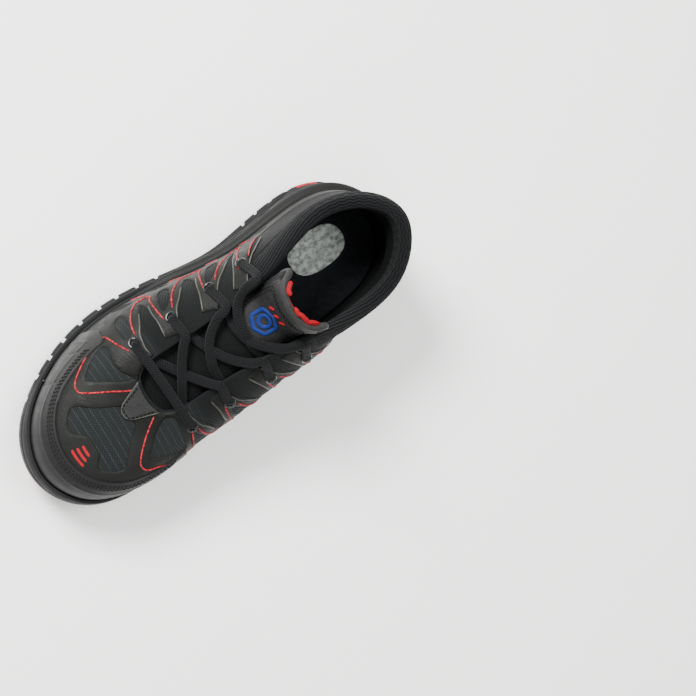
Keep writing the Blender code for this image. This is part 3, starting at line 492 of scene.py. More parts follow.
def place_of(tree, size, kind="Object"):
    """Coordinates in units of a real size, from the piece's place or from its cloth map."""
    if kind == "cloth":
        start = add(tree, "UVMap", {"uv_map": "cloth"}).outputs[0]
    else:
        start = add(tree, "TexCoord").outputs["Object"]
    return add(tree, "VectorMath", {"operation": "SCALE"}, i0=start, Scale=1 / size).outputs[0]


def split(tree, size=1.0, kind="Object"):
    """The three coordinates of a place in units of a real size."""
    return add(tree, "SeparateXYZ", i0=place_of(tree, size, kind)).outputs


def noise(tree, size, detail=3.0):
    """Noise whose lumps have a real size."""
    return add(tree, "TexNoise", Vector=place_of(tree, size), Scale=1.0, Detail=detail).outputs[0]


def drift(tree, size, low, high):
    """Slow change between two values in patches of a real size."""
    return ranged(tree, noise(tree, size), 0.3, 0.7, low, high)


def grains(tree, size):
    """Round grains of a real size."""
    return add(tree, "TexVoronoi", Vector=place_of(tree, size), Scale=1.0).outputs["Distance"]


def mix(tree, factor, first, second):
    made = add(tree, "Mix", {"data_type": "RGBA"}, i0=factor)
    for slot, value in ((6, first), (7, second)):
        if isinstance(value, bpy.types.NodeSocket):
            tree.links.new(value, made.inputs[slot])
        else:
            made.inputs[slot].default_value = (*value[:3], 1)
    return made.outputs[2]


def ranged(tree, value, low, high, to_low, to_high):
    return add(tree, "MapRange", i0=value, i1=low, i2=high, i3=to_low, i4=to_high).outputs[0]


def bump(tree, shader, height, distance):
    made = add(tree, "Bump", Height=height, Distance=distance)
    paint(tree, shader, made.outputs[0], "Normal")


def tinted(tree, shader, colour, size, share):
    """Colour that drifts a little lighter and darker in patches of a real size."""
    made = mix(tree, drift(tree, size, 0, 1), shade(colour, 1 - share), shade(colour, 1 + share))
    paint(tree, shader, made)
    return made


def two_tone(tree, shader, share, colour, low, high):
    """Colour between a darker and a lighter shade of itself."""
    paint(tree, shader, mix(tree, share, shade(colour, low), shade(colour, high)))


def weave(tree, pitch):
    """Height of a plain weave of a real pitch, 0 to 1."""
    place = place_of(tree, pitch, "cloth")
    parts = add(tree, "SeparateXYZ", i0=place).outputs
    which = add(tree, "TexChecker", Vector=place, Scale=1.0).outputs["Fac"]
    across = times(tree, wave(tree, parts[0]), which)
    along = times(tree, wave(tree, parts[1]), math_node(tree, "SUBTRACT", 1.0, which))
    return plus(tree, across, along)


def ripstop_mesh():
    """Woven polyester ripstop mesh: near black, with open pores and light dashed threads across the foot."""
    pitch = sizes().mesh_pitch
    line_pitch = 0.0044
    dark = colours().mesh
    made, tree, shader = start_material("woven_ripstop_mesh", dark, 0.72, Sheen_Weight=0.02)
    height = weave(tree, pitch)
    spot = split(tree)
    rows = times(tree, plus(tree, spot[0], times(tree, spot[1], -0.054)), 1 / line_pitch)
    near = math_node(tree, "ABSOLUTE", math_node(tree, "SUBTRACT", math_node(tree, "FRACT", rows), 0.5))
    line = ranged(tree, near, 0.02, 0.085, 1, 0)
    dash = math_node(tree, "SINE", times(tree, spot[1], 2 * math.pi / (1.5 * pitch)))
    broken = times(tree, line, ranged(tree, dash, -0.4, 0.1, 0.25, 1))
    fade = ranged(tree, noise(tree, 0.012), 0.35, 0.65, 0.25, 1)
    on_vamp = ranged(tree, spot[0], 0.040, 0.050, 0, 1)
    shown = times(tree, times(tree, broken, fade), on_vamp)
    front = mix(tree, height, dark, shade(dark, 2.6))
    cloth = mix(tree, on_vamp, mix(tree, height, shade(dark, 0.35), dark), front)
    paint(tree, shader, mix(tree, shown, cloth, colours().thread_line))
    bump(tree, shader, plus(tree, height, shown), 0.0003)
    return made


def rib_knit():
    """Brushed polyester rib knit: dark zigzag ribs that run round the collar, with loops between."""
    made, tree, shader = start_material("ribbed_knit", colours().knit, 0.85, Sheen_Weight=0.02)
    parts = split(tree, 0.0021, "cloth")
    fold = math_node(tree, "PINGPONG", times(tree, parts[0], 0.30), 0.5)
    swing = ranged(tree, split(tree)[0], -0.075, -0.115, 0.12, 1.15)
    rib = wave(tree, plus(tree, parts[1], times(tree, fold, swing)))
    loops = wave(tree, parts[0], 7.0)
    height = plus(tree, rib, times(tree, times(tree, loops, rib), 0.5))
    two_tone(tree, shader, ranged(tree, height, 0.15, 1.3, 0, 1), colours().knit, 0.20, 2.3)
    bump(tree, shader, height, 0.0008)
    return made


def side_knit():
    """Close polyester knit of the quarters below the collar: black, with fine upright ribs."""
    made, tree, shader = start_material("close_rib_knit", shade(colours().knit, 0.8), 0.6)
    rib = wave(tree, split(tree, 0.0016, "cloth")[0])
    two_tone(tree, shader, rib, colours().knit, 0.35, 1.1)
    bump(tree, shader, rib, 0.0003)
    return made


def lining_knit():
    """Polyester spacer knit of the lining: very dark, with small pits."""
    made, tree, shader = start_material("spacer_knit_lining", shade(colours().mesh, 0.45), 0.9)
    bump(tree, shader, weave(tree, 0.0018), 0.0004)
    return made


def red_lining():
    """Red spacer knit under the tongue: matt, with small pits."""
    made, tree, shader = start_material("red_spacer_knit", colours().piping, 0.75)
    height = weave(tree, 0.0011)
    two_tone(tree, shader, height, colours().piping, 0.45, 1)
    bump(tree, shader, height, 0.0002)
    return made


def welded_film():
    """Polyurethane film, hot-pressed on the cloth: dark grey and satin, painted paler at the heel as a
    painted highlight, finely pebbled.
    """
    dark = colours().film
    made, tree, shader = start_material("hot_pressed_film", dark, 0.50, Specular_IOR_Level=0.10)
    base = tinted(tree, shader, dark, 0.020, 0.14)
    # Painted highlight: the film is painted paler towards the heel, where the heel counter catches the light.
    heel = ranged(tree, split(tree)[0], -0.040, -0.075, 0, 1)
    near_throat = ranged(tree, split(tree, kind="cloth")[1], 0.072, 0.082, 0, 1)
    front = mix(tree, near_throat, base, shade(dark, 0.45))
    paint(tree, shader, mix(tree, heel, front, linear("#2c2d2b")))
    height = plus(tree, grains(tree, 0.0009), times(tree, weave(tree, sizes().mesh_pitch * 1.5), 0.35))
    height = plus(tree, height, times(tree, noise(tree, 0.009, 2.0), 3.0))
    bump(tree, shader, height, 0.00012)
    paint(tree, shader, drift(tree, 0.006, 0.42, 0.58), "Roughness")
    return made


def scuffed(tree, shader, base, size, pale):
    """Base colour with small pale scuffs of a real size."""
    scuff = ranged(tree, noise(tree, size, 8.0), 0.60, 0.74, 0, 0.30)
    paint(tree, shader, mix(tree, scuff, base, pale))


def moulded_cap():
    """Injection moulded polyurethane: charcoal, with an eroded matt texture and soft sheen."""
    dark = colours().cap
    made, tree, shader = start_material("moulded_polyurethane", dark, 0.55, Specular_IOR_Level=0.16)
    scuffed(tree, shader, tinted(tree, shader, dark, 0.030, 0.08), 0.0045, shade(dark, 2.6, 0.004))
    bump(tree, shader, noise(tree, 0.0006, 2.0), 0.00012)
    paint(tree, shader, drift(tree, 0.008, 0.42, 0.56), "Roughness")
    return made


def red_piping():
    """Printed red polyurethane line over a sewn cord: rounded and slightly beaded, with pale spots on the
    beads painted as highlights.
    """
    red = colours().piping
    made, tree, shader = start_material("red_raised_print", red, 0.45)
    bead_and_highlight = grains(tree, 0.0014)
    # Painted highlight: the middles of the beads are painted lighter, the red between them darker.
    paint(tree, shader, mix(tree, ranged(tree, bead_and_highlight, 0.1, 0.7, 0, 1), shade(red, 1.5, 0.03), shade(red, 0.6)))
    bump(tree, shader, bead_and_highlight, 0.0003)
    return made


def braided_lace():
    """Polyester braid of the lace: flat tubular herringbone, black, with a dry sheen."""
    made, tree, shader = start_material("braided_polyester", colours().lace, 0.7, Sheen_Weight=0.03)
    parts = split(tree, 0.0018, "cloth")
    fold = math_node(tree, "PINGPONG", parts[1], 0.5)
    yarn = wave(tree, plus(tree, parts[0], times(tree, fold, 1.6)))
    two_tone(tree, shader, yarn, colours().lace, 0.45, 1.3)
    bump(tree, shader, yarn, 0.0004)
    return made


def sole_rubber(name="moulded_rubber", colour=None):
    """Rubber, compression moulded: matt with a fine spark-eroded grain."""
    colour = colour or colours().rubber
    made, tree, shader = start_material(name, colour, 0.55)
    scuffed(tree, shader, tinted(tree, shader, colour, 0.025, 0.10), 0.0040, shade(colour, 1.8, 0.006))
    bump(tree, shader, noise(tree, 0.0005, 2.0), 0.00015)
    paint(tree, shader, drift(tree, 0.010, 0.5, 0.66), "Roughness")
    return made


def black_enamel():
    """Enamelled brass of the rings: glossy black with faint orange peel."""
    made, tree, shader = start_material("black_enamelled_brass", colours().enamel, 0.22, Coat_Weight=0.6)
    bump(tree, shader, noise(tree, 0.0012), 0.00004)
    paint(tree, shader, drift(tree, 0.003, 0.16, 0.32), "Roughness")
    return made


def grained(name, colour, roughness, patch, share, grain, depth, detail=3.0, **sockets):
    """Material whose colour drifts in patches of a real size, with a fine grain."""
    made, tree, shader = start_material(name, colour, roughness, **sockets)
    tinted(tree, shader, colour, patch, share)
    bump(tree, shader, noise(tree, grain, detail), depth)
    return made


def midsole_foam():
    """Ethylene-vinyl foam, moulded with a closed skin: satin charcoal with tiny wrinkles."""
    return grained("moulded_foam", colours().foam, 0.5, 0.015, 0.10, 0.0011, 0.00015, 4.0)


def film_edge_highlight():
    """Polyurethane film rolled over its own cut edge: glossy, and painted paler than the rest as a painted
    highlight along the edge.
    """
    # Painted highlight: the pale colour of these edges stands in for light catching them.
    colour = linear("#363732")
    return grained("film_edge_painted_highlight", colour, 0.3, 0.004, 0.35, 0.0010, 0.0001, Specular_IOR_Level=0.20)


def sewing_thread(name, code):
    """Bonded polyester thread, twisted: matt, with its ply showing as fine bands."""
    return grained(name, linear(code), 0.65, 0.002, 0.2, 0.0004, 0.0001)


def footbed_cloth():
    """Needled polyester felt of the footbed: black, napped and pilled."""
    return grained("needled_felt", linear("#131517"), 0.95, 0.004, 0.25, 0.0008, 0.0004, 5.0)


def binding_cloth():
    """Brushed polyester tricot of the tongue's rolled edge: grey, a little lighter than the mesh."""
    colour = linear("#242423")
    return grained("brushed_tricot", colour, 0.45, 0.006, 0.18, 0.0009, 0.0003, 4.0, Sheen_Weight=0.02)


def badge_rubber(name, colour):
    """Soft moulded rubber of badges and printed bars: satin, with a fine grain."""
    return grained(name, colour, 0.45, 0.003, 0.15, 0.0006, 0.0001)


def label_print():
    """Flocked label on the footbed: pale grey green, mottled, with pressed specks."""
    made, tree, shader = start_material("flocked_label", colours().label, 0.8)
    speck = ranged(tree, noise(tree, 0.0030, 6.0), 0.38, 0.66, 0, 1)
    two_tone(tree, shader, speck, colours().label, 0.38, 1)
    bump(tree, shader, speck, 0.0002)
    return made


def tongue_mesh():
    """Polyester spacer mesh of the tongue: near black, fine open weave over foam."""
    colour = shade(colours().mesh, 0.5)
    made, tree, shader = start_material("spacer_mesh", colour, 0.75, Sheen_Weight=0.02)
    height = weave(tree, sizes().mesh_pitch)
    two_tone(tree, shader, height, colour, 0.4, 1.3)
    bump(tree, shader, height, 0.0003)
    return made


def panel_leather():
    """Coated microfibre of the tongue's panel and throat patch: charcoal, with a fine leather grain."""
    colour = linear("#171817")
    made, tree, shader = start_material("coated_microfibre", colour, 0.5, Specular_IOR_Level=0.20)
    tinted(tree, shader, colour, 0.008, 0.15)
    cell = add(tree, "TexVoronoi", {"feature": "DISTANCE_TO_EDGE"}, Vector=place_of(tree, 0.0010), Scale=1.0)
    crease = ranged(tree, cell.outputs["Distance"], 0.0, 0.18, 0, 1)
    bump(tree, shader, crease, 0.00012)
    return made


def face_out(mesh):
    """Turns all faces of a closed mesh to point out of it."""
    bm = bmesh.new()
    bm.from_mesh(mesh)
    bmesh.ops.recalc_face_normals(bm, faces=bm.faces)
    if bm.calc_volume(signed=True) < 0:
        bmesh.ops.reverse_faces(bm, faces=bm.faces)
    bm.to_mesh(mesh)
    bm.free()


def linked(name, data):
    """New object in the scene for some data."""
    made = bpy.data.objects.new(name, data)
    bpy.context.scene.collection.objects.link(made)
    return made


def make_piece(name, made, materials, slots=None, angle=60, wrap=None):
    """Mesh piece on the root body, from points, faces and each point's map in metres.

    slots gives each face's material. wrap is the length after which the map starts again.
    """
    points, faces, cloth = made
    mesh = bpy.data.meshes.new(name)
    placed = np.asarray(points, float) - SHIFT
    mesh.from_pydata(placed.tolist(), [], [tuple(int(i) for i in f) for f in faces])
    for material in materials:
        mesh.materials.append(material)
    if slots is not None:
        mesh.polygons.foreach_set("material_index", np.asarray(slots, np.int32))
    face_out(mesh)
    if cloth is not None:
        layer = mesh.uv_layers.new(name="cloth")
        corner = np.empty(len(mesh.loops), np.int64)
        mesh.loops.foreach_get("vertex_index", corner)
        spots = np.asarray(cloth, float)[corner]
        if wrap:
            starts = np.empty(len(mesh.polygons), np.int64)
            mesh.polygons.foreach_get("loop_start", starts)
            highest = np.maximum.reduceat(spots[:, 0], starts)
            lengths = np.diff(np.append(starts, len(corner)))
            far = np.repeat(highest, lengths) - spots[:, 0] > wrap / 2
            spots[far, 0] += wrap
        layer.uv.foreach_set("vector", spots.astype(np.float32).ravel())
    mesh.shade_smooth()
    mesh.set_sharp_from_angle(angle=math.radians(angle))
    piece = linked(name, mesh)
    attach(piece, "root")
    return piece


def ring_faces(rings, count, closed=False, ends=False):
    """Quads between neighbouring rings of count points each, with a face on each end if asked."""
    faces = []
    for r in range(rings if closed else rings - 1):
        a = r * count
        b = (r + 1) % rings * count
        faces += [(a + i, a + (i + 1) % count, b + (i + 1) % count, b + i) for i in range(count)]
    if ends:
        faces.append(tuple(range(count))[::-1])
        faces.append(tuple(range((rings - 1) * count, rings * count)))
    return faces


def cross_faces(first, count):
    """Closes a ring that starts at the toe with strips from its outer to its inner side."""
    faces = []
    for i in range(count // 2):
        corners = (first + i, first + i + 1, first + count - i - 1, first + (count - i) % count)
        faces.append(tuple(dict.fromkeys(corners)))
    return faces


def around_places(count):
    """Places round the shoe: the same number on each side, meeting at the toe tip and heel back."""
    half = count // 2
    heel = section_at("heel back")
    outer = np.linspace(0, heel, half, endpoint=False)
    inner = np.linspace(heel, 1, half, endpoint=False)
    return np.concatenate((outer, inner))


def smooth_line(points, steps, closed=False):
    """Curve through a few points, with the same number of steps on each stretch."""
    points = np.array(points, float)
    if closed:
        padded = np.concatenate((points[-1:], points, points[:2]))
    else:
        padded = np.concatenate(([2 * points[0] - points[1]], points, [2 * points[-1] - points[-2]]))
    t = np.linspace(0, 1, steps, endpoint=False)[:, None]
    path = []
    for i in range(1, len(padded) - 2):
        a, b, c, d = padded[i - 1 : i + 3]
        bend = (2 * a - 5 * b + 4 * c - d) * t**2 + (3 * b - a - 3 * c + d) * t**3
        path.append(0.5 * (2 * b + (c - a) * t + bend))
    if not closed:
        path.append(points[-1:])
    return np.concatenate(path)


def spaced(line, points, pitch, closed=False):
    """Values of a line at an even pitch, measured along its points."""
    run = run_along(points)
    marks = np.linspace(0, run[-1], max(4, int(round(run[-1] / pitch))) + 1)
    return at_marks(marks[:-1] if closed else marks, run, line)


def even_line(points, pitch, closed=False):
    """The same line with points an even pitch apart."""
    points = np.array(points, float)
    if closed:
        points = np.concatenate((points, points[:1]))
    return spaced(points, points, pitch, closed)


def tube(path, ups, width, height, sides=10, taper=0.0):
    """Points, faces and map of a cord along a path, wide across ups and high along them, with closed ends."""
    path = np.asarray(path, float)
    tangents = unit(np.gradient(path, axis=0))
    side = unit(np.cross(tangents, ups))
    top = np.cross(side, tangents)
    turns = np.linspace(0, 2 * math.pi, sides, endpoint=False)
    count = len(path)
    size = np.ones(count)
    if taper:
        ends = np.minimum(np.arange(count), np.arange(count)[::-1])
        size = np.sqrt(np.clip((ends + 0.4) / taper, 0, 1))
    ring = np.cos(turns)[:, None] * side[:, None] * width / 2
    ring = ring + np.sin(turns)[:, None] * top[:, None] * height / 2
    points = path[:, None, :] + ring * size[:, None, None]
    around = np.abs(turns / math.pi - 1) * (width + height) / 2
    cloth = np.stack(np.broadcast_arrays(run_along(path)[:, None], around), axis=-1)
    return points.reshape(-1, 3), ring_faces(count, sides, ends=True), cloth.reshape(-1, 2)


def joined(parts):
    """One set of points, faces and cloth map from several."""
    points = []
    faces = []
    cloth = []
    start = 0
    for part_points, part_faces, part_cloth in parts:
        points.append(part_points)
        cloth.append(part_cloth)
        faces += [tuple(i + start for i in f) for f in part_faces]
        start += len(part_points)
    return np.concatenate(points), faces, np.concatenate(cloth)


def wall_thickness(u, v):
    """Thickness of the upper: its cloth, and the foam of the collar near the opening."""
    padded = column("pad", u).clip(0, 1) * smooth_step((v - 0.30) / 0.40)
    return UPPER_WALL + (COLLAR_PAD - UPPER_WALL) * padded


def moulded_line(x, share, height):
    """Depth of the lines moulded into the side of the rubber at a share of its height."""
    front = smooth_step((x + 0.02) / 0.03)
    depth = 0.0009 * front * np.exp(-(((share - 0.70) * height / 0.0011) ** 2))
    back = smooth_step((-0.055 - x) / 0.012)
    for start in (-0.128, -0.106):
        rise = np.clip((x - start) / 0.050, 0, 1)
        curve = 0.34 + 0.60 * rise ** 0.7
        on = (x > start - 0.001) * (x < start + 0.052)
        depth = depth + 0.0010 * back * on * np.exp(-(((share - curve) * height / 0.0014) ** 2))
    return depth


def sole_wall(u, shares, moulded):
    """Rings of the rubber sole's outside at shares of its height, and of the hollow inside it."""
    x = edge_plan(u)[:, 0]
    low = ground(x)
    line = rubber_line(u)
    hug = MIDSOLE_LIP + CLEARANCE
    blend = smooth_step(column("heel", u))
    levels, fores, heels = np.array(SOLE_SIDE).T
    rings = []
    for share in shares:
        fore = np.interp(share, levels, fores)
        heel = np.interp(share, levels, heels)
        out = hug + RUBBER_WALL + fore * (1 - blend) + heel * blend
        if moulded:
            out = out - moulded_line(x, share, line - low)
        rings.append(side_point(u, low + (line - low) * share, out))
    rings.append(side_point(u, line, hug + 0.0002))
    rings.append(side_point(u, (line + low + RUBBER_FLOOR) / 2, hug + 0.0001))
    rings.append(side_point(u, low + RUBBER_FLOOR, hug))
    return rings


def origin_shift():
    """Step from the formulas' own origin to the middle of the CAD model's sole."""
    sides = np.concatenate(sole_wall(around_places(CAD_RING), [row[0] for row in SOLE_SIDE], False))
    middle = (sides.min(axis=0) + sides.max(axis=0)) / 2
    return np.array((middle[0], middle[1], 0))


SHIFT = origin_shift()


def throat_place(share, inner):
    """Place round the shoe where the throat's edge passes a share of SHOE_LENGTH."""
    ends = ("toe inner", "arch rear") if inner else ("toe outer", "shank outer")
    tries = np.linspace(section_at(ends[0]), section_at(ends[1]), 200)
    return float(np.interp(-share, -column("top_along", tries), tries))


def spots_on_top(x, y, u=None, v=0.9, highest=0.998):
    """Places and shares of the upper over plan points, found by steps from a first guess."""
    u = -np.asarray(y, float) / 0.30 if u is None else u
    v = np.full_like(u, v)
    step = 1e-4
    for _ in range(30):
        here = wall(u, v)[..., :2]
        along = (wall(u + step, v)[..., :2] - here) / step
        up = (wall(u, v + step)[..., :2] - here) / step
        gap = np.stack((x, y), axis=-1) - here
        spread = along[..., 0] * up[..., 1] - along[..., 1] * up[..., 0]
        spread = np.where(np.abs(spread) < 1e-9, 1e-9, spread)
        move_u = (gap[..., 0] * up[..., 1] - gap[..., 1] * up[..., 0]) / spread
        move_v = (along[..., 0] * gap[..., 1] - along[..., 1] * gap[..., 0]) / spread
        u = u + np.clip(move_u, -0.02, 0.02)
        v = np.clip(v + np.clip(move_v, -0.1, 0.1), 0.02, highest)
    return u, v


def eyelet_places():
    """Place and share of each eyelet on the upper, outer side first."""
    places = {}
    for side, sign in (("outer", -1), ("inner", 1)):
        for number, (along, across) in enumerate(EYELETS, 1):
            start = throat_place(along, side == "inner")
            spot = spots_on_top(along_at(along), sign * across * BALL_WIDTH, start, 0.85, THROAT_LIMIT)
            places[side, number] = tuple(map(float, spot))
    return places


PLACES = eyelet_places()


def eyelet_spot(side, number):
    """Centre and outward normal of an eyelet."""
    u, v = PLACES[side, number]
    return wall(u, v), wall_normal(u, v)


def side_places(sign, places):
    """Places on the outer side, or their mirror images on the inner side, as u running past zero."""
    return [(sign * u, v) for u, v in places]


def eyelet_u(sign, number):
    """Place round the shoe of an eyelet, counted from the toe tip on its own side."""
    u = PLACES["outer" if sign > 0 else "inner", number][0]
    return u if sign > 0 else 1 - u


def from_eyelet(sign, number, places):
    """Places given from an eyelet on."""
    return [(eyelet_u(sign, number) + u, v) for u, v in places]


def eyelet_line(sign, number, places):
    """Line beside an eyelet of one side, as places on the upper."""
    return side_places(sign, from_eyelet(sign, number, places))


def even_places(places, pitch, closed=False):
    """Places along the same line, an even distance apart on the shoe."""
    line = smooth_line(places, 12, closed) if len(places) > 2 else np.array(places, float)
    if closed:
        line = np.concatenate((line, line[:1]))
    pieces = [np.linspace(a, b, 8, endpoint=False) for a, b in zip(line, line[1:])]
    fine = np.concatenate([*pieces, line[-1:]])
    return spaced(fine, wall(*fine.T), pitch, closed)


def line_on_wall(places, pitch, out):
    """Points and normals along places on the upper, at a distance out of it."""
    u, v = even_places(places, pitch).T
    return on_wall(u, v, out), wall_normal(u, v)


def cap_ends():
    """Places where the toe cap ends on the inner and the outer side."""
    return section_at("ball inner", CAP_REACH) - 1, section_at("ball outer", -CAP_REACH)


def cap_edge(u):
    """Share of the wall that the toe cap covers at place u near the toe."""
    places = [section_at(name, ahead) for name, ahead, _ in CAP_LINE]
    heights = [height for *_, height in CAP_LINE]
    inner_end = -cap_ends()[0]
    names = ("toe inner", "toe corner inner", "big toe")
    inner_knots = [0, *(1 - section_at(name) for name in names), inner_end - 0.012, inner_end]
    return np.where(u >= 0, np.interp(np.abs(u), places, heights), np.interp(np.abs(u), inner_knots, heights))


def make_cloth():
    """Outer cloth, rim and lining of the upper in one closed skin, in the CAD model's form."""
    u = around_places(420)
    count = len(u)
    rows = np.linspace(0, 1, 76)
    line = film_top(np.where(u > section_at("heel back"), u - 1, u))
    from_knit = 0.5 - KNIT_START - np.abs(u - 0.5)
    collar = np.clip(from_knit / 0.03, 0, 1)
    rings = []
    for v in rows:
        over = collar * smooth_step((v - line - 0.03) / 0.05)
        roll = 0.0017 * math.sin(math.pi * min(max((v - COLLAR_SEAM) / (1 - COLLAR_SEAM), 0), 1)) ** 0.7
        seam = 0.0007 * math.exp(-(((v - COLLAR_SEAM) / 0.010) ** 2))
        rings.append(on_wall(u, v, over * (roll - seam)))
    top = wall_thickness(u, 1.0)
    over = unit(wall(u, 1.0) - wall(u, 0.97))
    turns = np.linspace(0, math.pi, 13)[1:-1]
    for turn in turns:
        height = 0.40 * math.sin(turn) ** 0.8
        rings.append(on_wall(u, 1.0, -top * (1 - math.cos(turn)) / 2) + over * (top * height)[:, None])
    for v in np.linspace(1, 0, 34):
        rings.append(on_wall(u, v, -wall_thickness(u, v)))
    rings[-1][:, 2] = rings[0][:, 2]
    points = np.array(rings)
    run = run_along(points)
    run = run - run[len(rows) - 1]
    middle = wall(u, 0.6)
    along = run_along(middle)
    total = along[-1] + np.linalg.norm(middle[0] - middle[-1])
    cloth = np.stack((np.broadcast_to(along, run.shape), run), axis=-1).reshape(-1, 2)
    slots = []
    for r in range(len(rings)):
        if r < len(rows) - 1:
            knit = 1 if rows[r] > COLLAR_SEAM else 4
            knitted = (from_knit > 0) & (rows[r] > line - 0.04)
            slots += np.where(knitted, knit, 0).tolist()
        elif r < len(rows) + len(turns) + 4:
            slots += np.where(from_knit > 0, 1, 3).tolist()
        else:
            slots += [2] * count
    made = (points.reshape(-1, 3), ring_faces(len(rings), count, closed=True), cloth)
    materials = [ripstop_mesh(), rib_knit(), lining_knit(), dark_binding(), side_knit()]
    piece = make_piece("upper_cloth", made, materials, slots, 50, total)
    drills = []
    radius = EYELET_BARREL + CLEARANCE * 1.2
    for side, number in PLACES:
        centre, normal = eyelet_spot(side, number)
        drills.append(turned(centre, normal, ((radius, -0.012), (radius, 0.006)), 16, False))
    combine(piece, make_cutter("lace_holes", drills))
    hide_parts("upper")
    return piece


# Place where the collar's knit starts on each side, and the share of the wall of its seam line
KNIT_START = 0.315
COLLAR_SEAM = 0.83

# Windows and lines of the film, as places on the outer side with u from the toe tip
CENTRE_WINDOW = (
    (-0.0511, 0.623), (-0.0244, 0.572), (-0.0189, 0.604), (-0.0122, 0.667), (0.0089, 0.686), (0.0156, 0.654),
    (0.0222, 0.597), (0.0311, 0.572), (0.0478, 0.597), (0.0500, 0.648), (0.0222, 0.887), (0.0, 0.899),
    (-0.0222, 0.893),
)
OUTER_VAMP_WINDOW = (
    (0.0833, 0.660), (0.0933, 0.640), (0.1289, 0.566), (0.1344, 0.585), (0.1322, 0.660), (0.1000, 0.830),
    (0.0711, 0.975), (0.0656, 0.969), (0.0656, 0.925), (0.0733, 0.805), (0.0767, 0.730),
)
INNER_VAMP_WINDOW = (
    (-0.0756, 0.692), (-0.0700, 0.730), (-0.0611, 0.893), (-0.0667, 0.969), (-0.0900, 0.962),
    (-0.1067, 0.849), (-0.1289, 0.597), (-0.1233, 0.579), (-0.1022, 0.635), (-0.0822, 0.679),
)
RECT_WINDOW = ((0.002, 0.73), (0.024, 0.46), (0.036, 0.40), (0.038, 0.47), (0.026, 0.62), (0.010, 0.72))
GAP_FRONT = ((-0.014, 0.985), (-0.010, 0.95), (0.005, 0.855), (0.030, 0.70), (0.050, 0.53))
GAP_BACK = ((-0.002, 0.62), (-0.018, 0.81), (-0.030, 0.91), (-0.032, 0.935))
RED_OUTER_VAMP = (
    (0.0378, 0.962), (0.0511, 0.855), (0.0633, 0.679), (0.0678, 0.642), (0.0778, 0.597), (0.1000, 0.553),
    (0.1244, 0.509), (0.1411, 0.484), (0.1478, 0.516), (0.1444, 0.597), (0.1300, 0.824),
)
RED_INNER_VAMP = (
    (-0.0411, 0.962), (-0.0489, 0.843), (-0.0600, 0.698), (-0.0678, 0.635), (-0.0789, 0.585),
    (-0.0978, 0.547), (-0.1311, 0.390), (-0.1460, 0.372), (-0.1489, 0.415), (-0.1278, 0.761),
)
LOOP_FRONT = ((0.013, 0.75), (0.028, 0.62), (0.043, 0.50), (0.056, 0.40), (0.064, 0.365))
LOOP_BACK = ((0.020, 0.40), (0.012, 0.50), (0.002, 0.66), (-0.007, 0.80))
SIDE_STROKE = ((-0.005, 0.13), (-0.003, 0.18), (0.001, 0.25), (0.002, 0.31))
LAST_LINE = ((0.013, 0.75), (0.024, 0.63), (0.034, 0.53), (0.042, 0.46))
EDGE_FRONT = ((-0.011, 0.955), (-0.004, 0.90), (0.005, 0.845), (0.016, 0.77), (0.030, 0.69), (0.044, 0.58))
EDGE_BACK = ((0.004, 0.56), (-0.004, 0.66), (-0.014, 0.79), (-0.024, 0.88), (-0.030, 0.925))
QUARTER_LINE = ((0.357, 0.45), (0.400, 0.40), (0.440, 0.44), (0.470, 0.50), (0.500, 0.53))


def film_top_line(sign):
    """Upper edge of the film on one side, from the toe's middle to the heel's, as places."""
    line = [(0.0, 1.0), (0.03, 1.0), (0.07, 1.0), (0.10, 1.0)]
    for number in (1, 2, 3):
        line += from_eyelet(sign, number, GAP_FRONT)
        line.append((eyelet_u(sign, number) + 0.058, 0.46))
        line += from_eyelet(sign, number + 1, GAP_BACK)
        tip = eyelet_u(sign, number + 1)
        line.append((tip - 0.021, 0.955))
    last = eyelet_u(sign, 4)
    line += [(last - 0.010, 0.95), (last + 0.003, 0.86), (last + 0.016, 0.70), (last + 0.034, 0.55)]
    line += QUARTER_LINE
    return line


def film_top(u):
    """Share of the wall where the film's upper edge runs on the quarters and heel."""
    line = np.array([p for p in film_top_line(1) if p[0] > eyelet_u(1, 4) + 0.002])
    return np.interp(np.abs(u), line[:, 0], line[:, 1])


def film_bottom(u):
    """Share of the wall where the film starts, hidden under the toe cap or the midsole's lip."""
    start, end = cap_ends()
    lip = share_at_height(u % 1, lip_line(u % 1)) - 0.012
    under_cap = (u > start + 0.004) & (u < end - 0.004)
    return np.where(under_cap, np.maximum(cap_edge(u) - 0.03, lip), lip)


def corner_curve(before, here, after, share, steps):
    """Small curve that cuts a corner."""
    start = here + (before - here) * share
    end = here + (after - here) * share
    return [(1 - t) ** 2 * start + 2 * t * (1 - t) * here + t * t * end for t in np.linspace(0, 1, steps + 1)]


def rounded(places, steps=3, share=0.3):
    """Outline with each corner cut into a small curve."""
    places = np.array(places, float)
    corners = zip(np.roll(places, 1, axis=0), places, np.roll(places, -1, axis=0))
    return [point for corner in corners for point in corner_curve(*corner, share, steps)]


def rounded_open(places):
    """Open line with each inner corner cut into a small curve."""
    places = np.array(places, float)
    corners = zip(places, places[1:], places[2:])
    curves = [point for corner in corners for point in corner_curve(*corner, 0.3, 4)]
    return [places[0], *curves, places[-1]]


def side_u(sign, share):
    """Place on a side, counted from the toe tip, where the bottom edge passes a share of SHOE_LENGTH."""
    u = side_place(share, sign < 0)
    return u if sign > 0 else 1 - u


def side_windows(sign):
    """Five slanted windows low on one side, over the midsole's lip."""
    outlines = []
    for share, half, low, high in SIDE_WINDOWS:
        u = side_u(sign, share)
        bottom = [(u - half, low), (u + half, low + 0.01)]
        outlines.append([*bottom, (u + half, high), (u - half + 0.006, high - 0.01)])
    return outlines


# Windows low on the sides: share of SHOE_LENGTH, half width as u, lowest and highest share of the wall
SIDE_WINDOWS = (
    (0.635, 0.0095, 0.12, 0.31),
    (0.545, 0.0098, 0.13, 0.31),
    (0.455, 0.0098, 0.16, 0.32),
    (0.365, 0.0095, 0.19, 0.33),
    (0.280, 0.0080, 0.22, 0.32),
)


